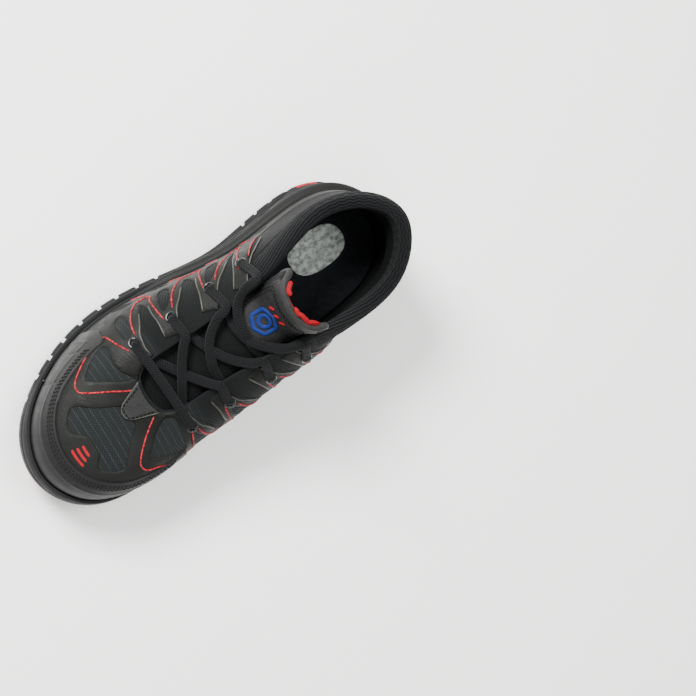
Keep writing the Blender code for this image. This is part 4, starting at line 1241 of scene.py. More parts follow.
def window_outlines():
    """All windows of the film."""
    outlines = [rounded(CENTRE_WINDOW), rounded(OUTER_VAMP_WINDOW), rounded(INNER_VAMP_WINDOW)]
    for sign in (1, -1):
        for number in (1, 2, 3):
            outlines.append(rounded(eyelet_line(sign, number, RECT_WINDOW)))
        for outline in side_windows(sign):
            outlines.append(rounded(side_places(sign, outline)))
    return outlines


def inside(points, outline):
    """Which points lie inside a closed outline."""
    result = np.zeros(len(points), bool)
    x, y = points.T
    for (ax, ay), (bx, by) in zip(outline, np.roll(outline, -1, axis=0)):
        if ay != by:
            result ^= ((ay > y) != (by > y)) & (x < (bx - ax) * (y - ay) / (by - ay) + ax)
    return result


def within(places, loops):
    """Which places lie inside the first loop and outside all others."""
    keep = inside(places, loops[0])
    for hole in loops[1:]:
        keep &= ~inside(places, hole)
    return keep


def moved_in(places, distance, left):
    """Places moved sideways on the shoe by a real distance."""
    u, v = places.T
    points = wall(u, v)
    tangent = unit(np.roll(points, -1, axis=0) - np.roll(points, 1, axis=0))
    side = np.cross(tangent, wall_normal(u, v)) * (1 if left else -1)
    step = 5e-4
    along = (wall(u + step, v) - wall(u - step, v)) / (2 * step)
    up = (wall(u, v + step) - wall(u, v - step)) / (2 * step)
    a, b, c = (np.sum(p * q, axis=1) for p, q in ((along, along), (along, up), (up, up)))
    p = np.sum(side * along, axis=1)
    q = np.sum(side * up, axis=1)
    spread = np.maximum(a * c - b * b, 1e-12)
    return places + np.column_stack(((c * p - b * q) / spread, (a * q - b * p) / spread)) * distance


def signed_area(outline):
    after = np.roll(outline, -1, axis=0)
    return 0.5 * np.sum(outline[:, 0] * after[:, 1] - outline[:, 1] * after[:, 0])


# Metres of cloth for one way round the shoe and for the height of its wall, roughly
PLANE = np.array((0.70, 0.09))


def triangles_within(loops, places):
    """Triangles between loops and the places inside them, each as numbers of the corners."""
    edges = []
    start = 0
    for loop in loops:
        count = len(loop)
        edges += [(start + i, start + (i + 1) % count) for i in range(count)]
        start += count
    flat = [Vector(p) for p in (places * PLANE).tolist()]
    made, _, triangles, origins, _, _ = delaunay_2d_cdt(flat, edges, [], 1, 1e-7)
    spots = np.array([(p.x, p.y) for p in made]) / PLANE
    triangles = np.array(triangles)
    triangles = triangles[within(spots[triangles].mean(axis=1), loops)]
    return spots, triangles, np.array([not o or min(o) < start for o in origins])


def sewn_at(cut, spots, triangles):
    """Triangles with the points of the sheet's right end joined to those of its left end."""
    left = {round(float(v), 6): i for i, (u, v) in enumerate(spots) if abs(u - cut[0]) < 1e-6}
    joined_to = np.arange(len(spots))
    for i, (u, v) in enumerate(spots):
        if abs(u - cut[1]) < 1e-6:
            joined_to[i] = left.get(round(float(v), 6), i)
    return joined_to[triangles]


def sheet_on_wall(outline, holes, pitch, height, cut):
    """Thin sheet on the upper with a soft edge round its outline and holes, joined at the heel's cut."""
    edge = 0.0007
    under = -0.0001
    loops = [np.array(outline), *(np.array(hole) for hole in holes)]
    border = np.concatenate(loops)
    tree = kdtree.KDTree(len(border))
    for i, point in enumerate(wall(*border.T)):
        tree.insert(point, i)
    tree.balance()
    insets = []
    for k, loop in enumerate(loops):
        left = signed_area(loop) > 0
        insets.append(moved_in(loop, edge, left if k == 0 else not left))
    lattice = []
    fine = np.linspace(loops[0][:, 0].min(), loops[0][:, 0].max(), 3000)
    for r, v in enumerate(np.arange(loops[0][:, 1].min() + 0.01, loops[0][:, 1].max(), pitch / PLANE[1])):
        run = run_along(wall(fine, v))
        count = max(2, int(run[-1] / pitch))
        marks = (np.arange(count) + (0.5 if r % 2 else 0.0)) * run[-1] / count
        lattice.append(np.column_stack((np.interp(marks, run, fine), np.full(count, v))))

    def far_enough(places, least):
        keep = np.array([tree.find(p)[2] > least for p in wall(*places.T)])
        return places[keep & within(places, loops)]

    inset = far_enough(np.concatenate(insets), edge * 0.75)
    lattice = far_enough(np.concatenate(lattice), edge + pitch * 0.45)
    spots, triangles, on_border = triangles_within(loops, np.concatenate((border, inset, lattice)))
    used, triangles = np.unique(sewn_at(cut, spots, triangles), return_inverse=True)
    triangles = triangles.reshape(-1, 3).tolist()
    spots = spots[used]
    n = len(spots)
    sides = {pair for a, b, c in triangles for pair in ((a, b), (b, c), (c, a))}
    rim = [(a, b) for a, b in sides if (b, a) not in sides]
    top = on_wall(*spots.T, np.where(on_border[used], height * 0.25, height))
    faces = [tuple(t) for t in triangles]
    faces += [(c + n, b + n, a + n) for a, b, c in triangles]
    faces += [(b, a, a + n, b + n) for a, b in sorted(rim)]
    cloth = np.concatenate((spots, spots)) * PLANE
    return np.concatenate((top, on_wall(*spots.T, under))), faces, cloth


def film_outline():
    """Closed outline of the film from its cut at the heel's back, round the shoe and back."""
    heel = section_at("heel back")
    u = np.linspace(heel - 1, heel, 560)
    bottom = np.column_stack((u, film_bottom(u)))
    bottom[-1, 1] = bottom[0, 1]
    outer = [p for p in film_top_line(1) if p[0] < heel - 0.004]
    inner = [(-a, b) for a, b in film_top_line(-1) if a < 1 - heel - 0.004]
    end_v = QUARTER_LINE[-1][1]
    curve = smooth_line([(heel - 1, end_v), *inner[:0:-1], *outer, (heel, end_v)], 10)
    curve[:, 1] = np.minimum(curve[:, 1], 0.997)
    line = spaced(curve, wall(*curve.T), 0.0012)
    levels = np.linspace(bottom[0, 1], end_v, 16)[1:-1]
    right = np.column_stack((np.full(len(levels), heel), levels))
    left = np.column_stack((np.full(len(levels), heel - 1), levels[::-1]))
    return np.concatenate((bottom, right, line[::-1], left)), (heel - 1, heel)


def make_film():
    """Welded film over the cloth, with its windows left open."""
    outline, cut = film_outline()
    holes = [even_places(w, 0.0012, True) for w in window_outlines()]
    made = sheet_on_wall(outline, holes, 0.0022, sizes().film, cut)
    piece = make_piece("film", made, [welded_film()])
    return piece


def line_tube(places, width, height, lift):
    """Raised line on the upper along places."""
    return tube(*line_on_wall(places, 0.0008, lift), width, height, 8, taper=3)


def make_piping():
    """Red raised lines on the film, and the short strokes between the side windows."""
    lines = [RED_OUTER_VAMP, RED_INNER_VAMP]
    strokes = []
    for sign in (1, -1):
        for number in (1, 2, 3):
            back = eyelet_line(sign, number + 1, LOOP_BACK)
            lines.append(eyelet_line(sign, number, LOOP_FRONT) + back)
        lines.append(eyelet_line(sign, 4, LAST_LINE))
        for (a, *_), (b, *_) in zip(SIDE_WINDOWS, SIDE_WINDOWS[1:]):
            u = side_u(sign, (a + b) / 2)
            strokes.append([(sign * (u + step), v) for step, v in SIDE_STROKE])
    width = sizes().piping
    lift = sizes().film + 0.0001
    parts = [line_tube(places, width, 0.0010, lift) for places in lines]
    parts += [line_tube(places, width * 1.6, 0.0010, lift) for places in strokes]
    piece = make_piece("piping", joined(parts), [red_piping()])
    return piece


def make_marks():
    """Three slanted red bars printed on the film at the toe."""
    parts = []
    for v in (0.540, 0.578, 0.616):
        half = 0.0098 - 0.045 * (v - 0.54)
        line = line_on_wall(((-half, v - 0.006), (0.0, v), (half, v + 0.006)), 0.0006, sizes().film)
        parts.append(tube(*line, 0.0018, 0.0006, 10, taper=2))
    piece = make_piece("toe_marks", joined(parts), [badge_rubber("red_print", colours().piping)])
    return piece


def make_film_edges():
    """Pressed edges of the film at the lace holes, and the border of the throat patch, painted pale as a
    painted highlight.
    """
    parts = []
    for sign in (1, -1):
        for number in (1, 2, 3, 4):
            for line in (EDGE_FRONT, EDGE_BACK) if number > 1 else (EDGE_FRONT,):
                parts.append(line_tube(eyelet_line(sign, number, line), 0.0010, 0.0008, 0.0005))
    border = patch_border(0.02, 0.97, 30, CLEARANCE + 0.6 * PATCH_WALL)
    parts.append(tube(*border, 0.0009, 0.0009, 8, taper=3))
    piece = make_piece("film_edges", joined(parts), [film_edge_highlight()])
    return piece


def shell_faces(rows, columns):
    """Faces of a plate over a grid: top and underside cell by cell, then its rim."""
    count = rows * columns
    faces = []
    for r in range(rows - 1):
        for a in range(r * columns, (r + 1) * columns - 1):
            quad = (a, a + 1, a + columns + 1, a + columns)
            faces += [quad, tuple(i + count for i in quad[::-1])]
    border = edge_of_grid(rows, columns)
    return faces + [(i, j, j + count, i + count) for i, j in zip(border, border[1:] + border[:1])]


def grid_shell(u_grid, v_grid, outer):
    """Points, faces and map of a plate that lies on the upper, up to a distance out of it."""
    low = on_wall(u_grid, v_grid, CLEARANCE * 0.5).reshape(-1, 3)
    high = on_wall(u_grid, v_grid, outer).reshape(-1, 3)
    cloth = np.stack((u_grid * PLANE[0], v_grid * PLANE[1]), axis=-1).reshape(-1, 2)
    return np.concatenate((low, high)), shell_faces(*u_grid.shape), np.concatenate((cloth, cloth))


def edge_of_grid(rows, columns):
    """Points round the border of a grid, in turn."""
    border = list(range(columns))
    border += [r * columns + columns - 1 for r in range(1, rows)]
    border += [(rows - 1) * columns + c for c in range(columns - 2, -1, -1)]
    return border + [r * columns for r in range(rows - 2, 0, -1)]


def stitch_row(line, factors=(1, 1, 1), lift=0.0002):
    """Sewn stitches along points and normals, each a short rounded piece of thread.

    factors multiply the sizes of the stitch pitch, the stitch and the thread.
    """
    points, normals = line
    given = (sizes().stitch_pitch, sizes().stitch, sizes().thread)
    pitch, length, width = (size * factor for size, factor in zip(given, factors))
    run = run_along(points)
    count = int(run[-1] / pitch)
    parts = []
    for k in range(count):
        marks = (k + 0.5) * run[-1] / count + np.linspace(-0.5, 0.5, 5) * length
        ups = unit(at_marks(marks, run, normals))
        rise = lift + np.array((-0.6, 0.1, 0.25, 0.1, -0.6)) * width
        parts.append(tube(at_marks(marks, run, points) + ups * rise[:, None], ups, width, width, 6))
    return parts


# Stitches of the cap and of the patch, as multiples of the pitch, stitch and thread in the sidebar
CAP_STITCH = (1.125, 1.06667, 0.83333)
PATCH_STITCH = (1, 1, 1.33333)

# Corners of the sewn frame round the tongue's panel: metres from the tongue's free end and off its middle
PANEL_FRAME = (
    (0.047, 0.0165), (0.030, 0.0180), (0.0095, 0.0195), (0.0085, 0.0),
    (0.0095, -0.0195), (0.030, -0.0180), (0.047, -0.0165),
)


def make_stitches():
    """Stitch rows of the toe cap, the throat patch and the tongue's panel."""
    u_grid, v_grid = cap_grid(200, 12)
    top = np.column_stack((u_grid[-1], v_grid[-1]))[16:184:4]
    cap = []
    for distance in (0.0030, 0.0050, 0.0070):
        line = line_on_wall(top - (0, distance / 0.088), 0.001, CLEARANCE + TOE_CAP_WALL)
        cap += stitch_row(line, CAP_STITCH)
    thread = make_piece("cap_stitches", joined(cap), [sewing_thread("dark_thread", "#0b0c0c")])
    parts = stitch_row(patch_border(0.10, 0.80, 20, CLEARANCE + PATCH_WALL), PATCH_STITCH)
    for inset in (0.0, 0.0022):
        line = [(a + (inset if a < 0.012 else 0), b - inset * np.sign(b)) for a, b in PANEL_FRAME]
        parts += stitch_row(on_tongue(even_line(rounded_open(line), 0.001), 0.0))
    other = make_piece("patch_stitches", joined(parts), [sewing_thread("black_thread", "#060606")])
    return thread, other


def cap_grid(columns, rows):
    """Places of the toe cap on a grid."""
    start, end = cap_ends()
    u = np.linspace(start, end, columns)
    bottom = share_at_height(u % 1, lip_line(u % 1) + 2 * CLEARANCE)
    kernel = np.hanning(9) / np.hanning(9).sum()
    smooth = np.convolve(np.pad(cap_edge(u), 4, mode="edge"), kernel, mode="valid")
    smooth = smooth + 0.035 * np.clip((u - start) / 0.02, 0, 1) * np.clip((end - u) / 0.02, 0, 1)
    share = np.linspace(0, 1, rows)[:, None]
    return np.broadcast_to(u, (rows, columns)).copy(), bottom * (1 - share) + smooth * share


def make_toe_cap():
    """Moulded toe cap with a rolled upper edge, a ridge below it and two pressed arcs on each flank."""
    u_grid, v_grid = cap_grid(340, 46)
    rows, columns = u_grid.shape
    flat = wall(u_grid, v_grid).reshape(-1, 3)
    upper = [b for b in edge_of_grid(rows, columns) if b >= columns]
    tree = kdtree.KDTree(len(upper))
    for i, b in enumerate(upper):
        tree.insert(flat[b], i)
    tree.balance()
    reach = np.array([tree.find(p)[2] for p in flat]).reshape(rows, columns)
    round_edge = np.sqrt(np.clip(1 - (1 - np.clip(reach / 0.0012, 0, 1)) ** 2, 0, 1))
    outer = CLEARANCE + TOE_CAP_WALL * (0.25 + 0.75 * round_edge)
    outer = outer + np.exp(-(((reach - 0.0105) / 0.0009) ** 2)) * 0.00035
    height = np.linspace(0, 1, rows)[:, None]
    shown = np.clip(height / 0.12, 0, 1) * np.clip((0.80 - height) / 0.12, 0, 1) * (np.abs(u_grid) < 0.158)
    away = np.hypot((np.abs(u_grid) - 0.165) * PLANE[0], (v_grid - 0.30) * PLANE[1])
    for radius in (0.028, 0.053):
        outer = outer - shown * 0.00045 * np.exp(-(((away - radius) / 0.0010) ** 2))
    piece = make_piece("toe_cap_moulding", grid_shell(u_grid, v_grid, outer), [moulded_cap()], None, 50)
    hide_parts("toe_cap")
    return piece


def patch_half_width(share):
    """Half width of the patch from its round tip to the throat."""
    tip = np.sqrt(np.clip(1 - (1 - np.clip(share / 0.25, 0, 1)) ** 2, 0.01, 1))
    return PATCH_HALF_WIDTH * (0.42 + 0.76 * share) * tip


def patch_spots(share, side):
    """Places of the patch at a share of its length from the tip and of its half width off its middle."""
    x = along_at(PATCH_TIP) - PATCH_LENGTH * share - 0.0022 * share * side * side
    return spots_on_top(x, 0.0006 + side * patch_half_width(share))


def patch_border(tip, across, count, out):
    """Points and normals down one side of the patch to its tip and up the other."""
    share = np.concatenate((np.linspace(1 - tip, tip, count), np.linspace(tip, 1 - tip, count)))
    u, v = patch_spots(share, np.repeat((-across, across), count))
    return on_wall(u, v, out), wall_normal(u, v)


def make_patch():
    """Patch at the foot of the throat with bevelled edges."""
    share = np.linspace(0, 1, 30)[:, None]
    side = np.linspace(-1, 1, 31)[None, :]
    edge = np.clip((1 - np.abs(side)) / 0.12, 0, 1)
    edge = edge * np.clip(share / 0.08, 0, 1) * np.clip((1 - share) / 0.06, 0, 1)
    outer = CLEARANCE + PATCH_WALL * (0.35 + 0.65 * np.sqrt(edge))
    made = grid_shell(*patch_spots(share, side), outer)
    piece = make_piece("throat_patch_film", made, [panel_leather()], None, 50)
    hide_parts("throat_patch")
    return piece


def turned(centre, normal, profile, sides, closed):
    """Rings and faces of a turned body: radius and height pairs about a normal."""
    first = unit(np.cross(normal, (0.0, 1.0, 0.2)))
    second = np.cross(normal, first)
    turns = np.linspace(0, 2 * math.pi, sides, endpoint=False)
    circle = np.cos(turns)[:, None] * first + np.sin(turns)[:, None] * second
    rings = [centre + normal * height + radius * circle for radius, height in profile]
    return np.concatenate(rings), ring_faces(len(rings), sides, closed, not closed)


def make_eyelets():
    """Domed rings of the eight lace holes."""
    low = 2 * CLEARANCE
    back = -(UPPER_WALL + CLEARANCE)
    lip = EYELET_RADIUS - 0.0002
    profile = [(EYELET_HOLE, back), (EYELET_BARREL, back), (EYELET_BARREL, low), (lip, low)]
    middle = (EYELET_RADIUS + EYELET_HOLE) / 2
    half = (EYELET_RADIUS - EYELET_HOLE) / 2
    for turn in np.linspace(0, math.pi, 11):
        profile.append((middle + half * math.cos(turn), low + 0.0002 + EYELET_HEIGHT * 0.9 * math.sin(turn)))
    parts = []
    for side, number in PLACES:
        points, faces = turned(*eyelet_spot(side, number), profile, 36, True)
        parts.append((points, faces, points[:, :2]))
    points, faces, _ = joined(parts)
    piece = make_piece("eyelet_rings", (points, faces, None), [black_enamel()], None, 50)
    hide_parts(*[f"eyelet_{side}_{number}" for side, number in PLACES])
    return piece


def throat_edges(share):
    """Cross-section of the tongue's top under the throat: outer lap, arch between, inner lap."""
    section = []
    reach = TONGUE_LAP * np.clip((share - TONGUE_RISE) / 0.06, 0.3, 1)
    for inner, shares in ((False, (0.0, 0.5, 1.0)), (True, (1.0, 0.5, 0.0))):
        u = throat_place(share, inner)
        lap = share_from_top(np.array([u]), reach)[0]
        v = lap + (1 - lap) * np.array(shares)
        section.append(on_wall(u, v, -(wall_thickness(u, v) + TONGUE_DEPTH)))
    outer, inner = section
    gap = np.linalg.norm(inner[0] - outer[2])
    pull_outer = outer[2] + unit(outer[2] - outer[1]) * gap * 0.36
    pull_inner = inner[0] + unit(inner[0] - inner[1]) * gap * 0.36
    t = np.array((0.2, 0.4, 0.6, 0.8))[:, None]
    s = 1 - t
    arch = s**3 * outer[2] + 3 * s * s * t * pull_outer + 3 * s * t * t * pull_inner + t**3 * inner[0]
    return np.concatenate((outer, arch, inner))


def tongue_sections():
    """Cross-sections of the tongue's top face, from under the vamp to its free end."""
    mouth = throat_edges(TONGUE_MOUTH)
    y = mouth[:, 1] * 0.96
    sections = []
    for share in (TONGUE_ROOT, (TONGUE_ROOT + TONGUE_MOUTH) / 2):
        u, v = spots_on_top(np.full_like(y, along_at(share)), y, highest=THROAT_LIMIT)
        sections.append(on_wall(u, v, -(UPPER_WALL + TONGUE_DEPTH)))
    sections += [throat_edges(share) for share in np.linspace(TONGUE_MOUTH, TONGUE_RISE, 7)]
    last = sections[-1]
    crown = (last[4] + last[5]) / 2
    before = (sections[-3][4] + sections[-3][5]) / 2
    run = crown - before
    pitch = math.atan2(run[2], -run[0])
    local = last - crown
    away = -local[:, 0] * math.cos(pitch) + local[:, 2] * math.sin(pitch)
    drop = local[:, 0] * math.sin(pitch) + local[:, 2] * math.cos(pitch)
    turns = np.radians((-98, -74, -52, -31, -10, 10, 31, 52, 74, 98))
    bowed = np.sin(turns) * TONGUE_HALF_WIDTH
    sunk = (np.cos(turns) - 1) * TONGUE_BOW
    centre = crown.copy()
    done = 0.0
    for step, blend, turn, width in TONGUE_END:
        angle = pitch + math.radians(turn)
        ahead = np.array((-math.cos(angle), 0, math.sin(angle)))
        up = np.array((math.sin(angle), 0, math.cos(angle)))
        centre = centre + ahead * TONGUE_STAND * (step - done)
        done = step
        section = centre + np.outer(away * (1 - blend), ahead)
        section = section + np.outer(drop * (1 - blend) + sunk * blend * width, up)
        section[:, 1] = centre[1] + (local[:, 1] * (1 - blend) + bowed * blend) * width
        sections.append(section)
    return sections


TONGUE_GRID = np.array(tongue_sections())


def finer(grid, steps_rows, steps_columns):
    """Smooth surface through a grid of points."""
    rows = np.stack([smooth_line(grid[:, c], steps_rows) for c in range(grid.shape[1])], axis=1)
    return np.stack([smooth_line(rows[r], steps_columns) for r in range(len(rows))], axis=0)


def surface_normals(grid):
    """Normals of a grid of points, away from the foot."""
    normal = unit(np.cross(np.gradient(grid, axis=1), np.gradient(grid, axis=0)))
    if normal[0, grid.shape[1] // 2, 2] < 0:
        normal = -normal
    return normal


TONGUE_FINE = finer(TONGUE_GRID, 8, 8)
TONGUE_NORMAL = surface_normals(TONGUE_FINE)


def tongue_puff(along, across):
    """Height of the foam's swell over the tongue's free part."""
    share = np.clip((np.asarray(along) - 8.6) / 4.6, 0, 1)
    return 0.0007 * np.sin(math.pi * share) * np.sin(math.pi * np.asarray(across))


def make_tongue():
    """Padded tongue: mesh cloth and a panel on top, red lining below, soft rounded edges."""
    grid = TONGUE_FINE
    rows, columns = grid.shape[:2]
    last = len(TONGUE_GRID) - 1
    across = np.linspace(0, 1, columns)
    share = np.linspace(0, last, rows)
    edge = np.sin(0.12 + (math.pi - 0.24) * across) ** 0.5
    end = np.interp(share, np.arange(last - 4, last + 1), (1.0, 1.25, 1.3, 1.1, 0.5))
    thick = TONGUE_THICKNESS * edge * end[:, None]
    top = grid + TONGUE_NORMAL * tongue_puff(share[:, None], across)[..., None]
    under = grid - TONGUE_NORMAL * thick[..., None]
    panel_start = tongue_place([0.050], [0.0])[0][0]
    slots = []
    for r in range(rows - 1):
        for c in range(columns - 1):
            slots += [1 if share[r] > panel_start and 0.16 < across[c] < 0.84 else 0, 2]
    slots += [0] * len(edge_of_grid(rows, columns))
    step_u = run_along(grid[:, columns // 2])
    step_v = run_along(grid[rows // 2])
    cloth = np.stack(np.broadcast_arrays(step_u[:, None], step_v), axis=-1).reshape(-1, 2)
    points = np.concatenate((top.reshape(-1, 3), under.reshape(-1, 3)))
    made = (points, shell_faces(rows, columns), np.concatenate((cloth, cloth)))
    piece = make_piece("tongue_pad", made, [tongue_mesh(), panel_leather(), red_lining()], slots)
    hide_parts("tongue")
    return piece


def tongue_spot(along, across, lift):
    """Points and normals on the tongue's top. along counts its sections, across goes from 0 to 1."""
    rows, columns = TONGUE_FINE.shape[:2]
    r = np.asarray(along, float) / (len(TONGUE_GRID) - 1) * (rows - 1)
    c = np.asarray(across, float) * (columns - 1)
    r0 = np.clip(r.astype(int), 0, rows - 2)
    c0 = np.clip(c.astype(int), 0, columns - 2)
    a = (r - r0)[..., None]
    b = (c - c0)[..., None]

    def at(field):
        low = field[r0, c0] * (1 - b) + field[r0, c0 + 1] * b
        high = field[r0 + 1, c0] * (1 - b) + field[r0 + 1, c0 + 1] * b
        return low * (1 - a) + high * a

    normal = unit(at(TONGUE_NORMAL))
    return at(TONGUE_FINE) + normal * (lift + tongue_puff(along, across))[..., None], normal


def tongue_place(back, across):
    """Place on the tongue at metres from its free end and metres off its middle."""
    run = run_along(TONGUE_FINE[:, TONGUE_FINE.shape[1] // 2])
    row = np.interp(run[-1] - np.asarray(back, float), run, np.arange(len(run)))
    share = []
    for r, y in zip(row, across):
        width = run_along(TONGUE_FINE[int(round(r))])
        share.append(np.interp(width[-1] / 2 + y, width, np.linspace(0, 1, len(width))))
    return row / (len(TONGUE_FINE) - 1) * (len(TONGUE_GRID) - 1), np.array(share)


def on_tongue(line, lift):
    """Points and normals on the tongue for metres from its free end and off its middle."""
    return tongue_spot(*tongue_place(*np.asarray(line, float).T), lift)


def make_tongue_lining():
    """Red lining that rolls out inside the rim at both wings of the tongue, in soft wrinkles."""
    ends, _ = tongue_spot((13.0, RIM_SECTION), (0.5, 0.5), 0.0)
    centre = ends[1] + unit(ends[1] - ends[0]) * 0.022
    parts = []
    for low, high, phase in ((0.03, 0.30, 0.0), (0.46, 0.97, 2.0)):
        path, normals = tongue_spot(np.full(48, RIM_SECTION), np.linspace(low, high, 48), RIM_LIFT)
        run = run_along(path)
        fold = np.sin(run / 0.0058 * math.pi + phase) + 0.3 * np.sin(run / 0.0027 * math.pi + 2 * phase)
        path = path + unit(centre - path) * (0.0036 + 0.0004 * fold)[:, None]
        path = path - normals * (0.0022 + 0.0003 * fold)[:, None]
        parts.append(tube(path, normals, 0.0040, 0.0030, 14, taper=6))
    piece = make_piece("tongue_lining", joined(parts), [red_lining()])
    return piece


# Middle of the badge, in metres from the tongue's free end
BADGE_BACK = 0.0335

# Section of the tongue that its rim and lining follow, and how far they lie over its top
RIM_SECTION = 13.9
RIM_LIFT = -0.0018


def make_tongue_rim():
    """Rolled edge round the tongue's free end."""
    side = np.linspace(10.4, 13.75, 12)
    top = np.linspace(0.06, 0.94, 30)
    along = np.concatenate((side, np.full(len(top), RIM_SECTION), side[::-1]))
    across = np.concatenate((np.full(len(side), 0.02), top, np.full(len(side), 0.98)))
    path, _ = tongue_spot(along, across, RIM_LIFT)
    kernel = np.array((1, 2, 3, 2, 1)) / 9
    for _ in range(2):
        inner = np.column_stack([np.convolve(row, kernel, mode="valid") for row in path.T])
        path = np.concatenate((path[:2], inner, path[-2:]))
    path = even_line(path, 0.0012)
    ups = unit(path - (path[0] + path[-1]) / 2 + (0, 0, 0.02))
    piece = make_piece("tongue_rim", tube(path, ups, 0.0044, sizes().binding, 16, taper=8), [binding_cloth()])
    return piece


def make_badge():
    """Plain badge of the tongue: a sewn hexagon with a ring in it, and three short bars."""
    turns = np.linspace(0, 2 * math.pi, 6, endpoint=False)
    corners = [(BADGE_BACK + 0.0088 * math.cos(t), 0.0088 * math.sin(t)) for t in turns]
    hexagon = even_line(rounded(corners, 3, 0.18), 0.0008, True)
    hexagon = np.concatenate((hexagon, hexagon[:2]))
    turns = np.linspace(0, 2 * math.pi, 40)
    circle = np.column_stack((BADGE_BACK + 0.0039 * np.cos(turns), 0.0039 * np.sin(turns)))
    blue = [tube(*on_tongue(line, 0.0003), 0.0027, 0.0010, 10) for line in (hexagon, circle)]
    red = []
    for middle in (-0.0056, 0.0, 0.0056):
        ends = ((BADGE_BACK - 0.0108, middle - 0.0012), (BADGE_BACK - 0.0158, middle + 0.0012))
        red.append(tube(*on_tongue(np.linspace(*ends, 8), 0.0003), 0.0022, 0.0009, 8, taper=2))
    ring = make_piece("tongue_badge", joined(blue), [badge_rubber("blue_embroidery", colours().badge)])
    bars = make_piece("tongue_bars", joined(red), [badge_rubber("red_embroidery", colours().piping)])
    return ring, bars


def tongue_height(x, y):
    """Height of the tongue's top face over a plan point."""
    rows = []
    for section in TONGUE_GRID:
        section = section[np.argsort(section[:, 1])]
        rows.append([np.interp(y, section[:, 1], section[:, k]) for k in (0, 2)])
    along, height = np.array(rows).T
    keep = [0]
    for i in range(1, len(along)):
        if along[i] < along[keep[-1]] - 1e-4:
            keep.append(i)
    return float(np.interp(-x, -along[keep], height[keep]))


# How far each loose lace sags off its straight line: metres to the toe and to the outer side
LACE_SAG = {
    ("outer", 4): (0.0115, 0.0100),
    ("inner", 4): (0.0140, -0.0030),
    ("outer", 3): (0.0080, 0.0055),
    ("inner", 3): (0.0040, -0.0055),
    ("outer", 2): (0.0015, 0.0010),
    ("inner", 2): (0.0010, -0.0010),
}


def lace_path(start, end, lift):
    """Points and flat directions of a lace over an eyestay, across the tongue and to the other side."""
    clear = LACE_THICKNESS / 2 + CLEARANCE * 1.5
    over = []
    for side, number in (start, end):
        centre, normal = eyelet_spot(side, number)
        u = throat_place(EYELETS[number - 1][0], side == "inner")
        edge = on_wall(u, 1.0, clear + 0.35 * wall_thickness(u, 1.0))
        rest = centre + normal * clear
        over.append((rest + unit(edge - rest) * (EYELET_RADIUS + 0.0010), edge, normal))
    (first, second, normal), (far_first, far_second, far_normal) = over
    level = np.array((0.25, 0, 1.0))
    hole, hole_up = into_hole(*start)
    if start[1] == end[1]:
        points = [first, second]
        for t in (0.25, 0.5, 0.75):
            points.append(second * (1 - t) + far_second * t + (0, 0, 0.0012 * math.sin(math.pi * t)))
        points += [far_second, far_first]
        ups = [normal, normal + level, level, level, level, far_normal + level, far_normal]
        far_hole, far_up = into_hole(*end)
        return hole + points + far_hole[::-1], hole_up + ups + far_up[::-1]
    reach = math.copysign(abs(far_second[1]) + 0.0012, -1 if end[0] == "outer" else 1)
    inner = np.array((along_at(EYELETS[end[1] - 1][0]) - 0.003, reach, 0))
    points = [first, second]
    for t in (0.15, 0.32, 0.5, 0.68, 0.84, 1.0):
        point = second * (1 - t) + inner * t
        sag = math.sin(math.pi * t) ** 0.8 if t < 1 else 0
        point[0] += LACE_SAG[start][0] * sag
        point[1] -= LACE_SAG[start][1] * sag
        side = LACE_WIDTH * 0.6 if t < 0.8 else 0
        height = max(tongue_height(point[0] + d, point[1]) for d in (-side, 0, side))
        height += clear + lift * math.sin(math.pi * t) ** 2
        blend = max(0, 1 - t / 0.4)
        point[2] = height * (1 - blend) + max(second[2] + 0.0004, height) * blend
        points.append(point)
    ups = [normal, normal + level, level, level, level, level, far_normal + level, far_normal]
    hidden, hidden_up = under_eyestay(*end)
    return hole + points + hidden, hole_up + ups + hidden_up


def into_hole(side, number):
    """Lace's way from under an eyelet up through its hole."""
    centre, normal = eyelet_spot(side, number)
    edge = wall(PLACES[side, number][0], 1.0) - centre
    toward = unit(edge - normal * np.dot(edge, normal))
    steps = ((-0.0046, 0.0), (-0.0022, 0.0), (0.0004, 0.0002), (0.0021, 0.0014))
    points = [centre + normal * up + toward * aside for up, aside in steps]
    return points, [-toward, -toward, normal - toward, normal]


def under_eyestay(side, number):
    """Lace's hidden way from the throat's edge to under an eyelet."""
    u, v = PLACES[side, number]
    points = [on_wall(u, v + (0.99 - v) * share, -(UPPER_WALL + 0.0021)) for share in (0.6, 0.25, 0.0)]
    return points, [wall_normal(u, v)] * 3


def make_laces():
    """The bar at the vamp and the crossings over the tongue, run through the lace holes."""
    paths = [lace_path(("outer", 1), ("inner", 1), 0)]
    for number in range(2, len(EYELETS) + 1):
        paths.append(lace_path(("inner", number), ("outer", number - 1), 0.0002))
        paths.append(lace_path(("outer", number), ("inner", number - 1), 0.0022))
    parts = []
    for path, ups in paths:
        ups = unit(smooth_line(ups, 10))
        parts.append(tube(smooth_line(path, 10), ups, sizes().lace_width, sizes().lace_thickness, 16))
    piece = make_piece("laces", joined(parts), [braided_lace()])
    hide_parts("lace_bar", "lace_crossing_1", "lace_crossing_2", "lace_crossing_3")
    return piece


def stacked(rings):
    """Closed stack of rings round the shoe, joined across at its first and last ring."""
    count = len(rings[0])
    faces = ring_faces(len(rings), count)
    faces += cross_faces(0, count)
    faces += cross_faces((len(rings) - 1) * count, count)
    points = np.array(rings)
    run = run_along(points)
    cloth = np.stack((np.broadcast_to(run_along(points[0]), run.shape), run), axis=-1)
    return points.reshape(-1, 3), faces, cloth.reshape(-1, 2)


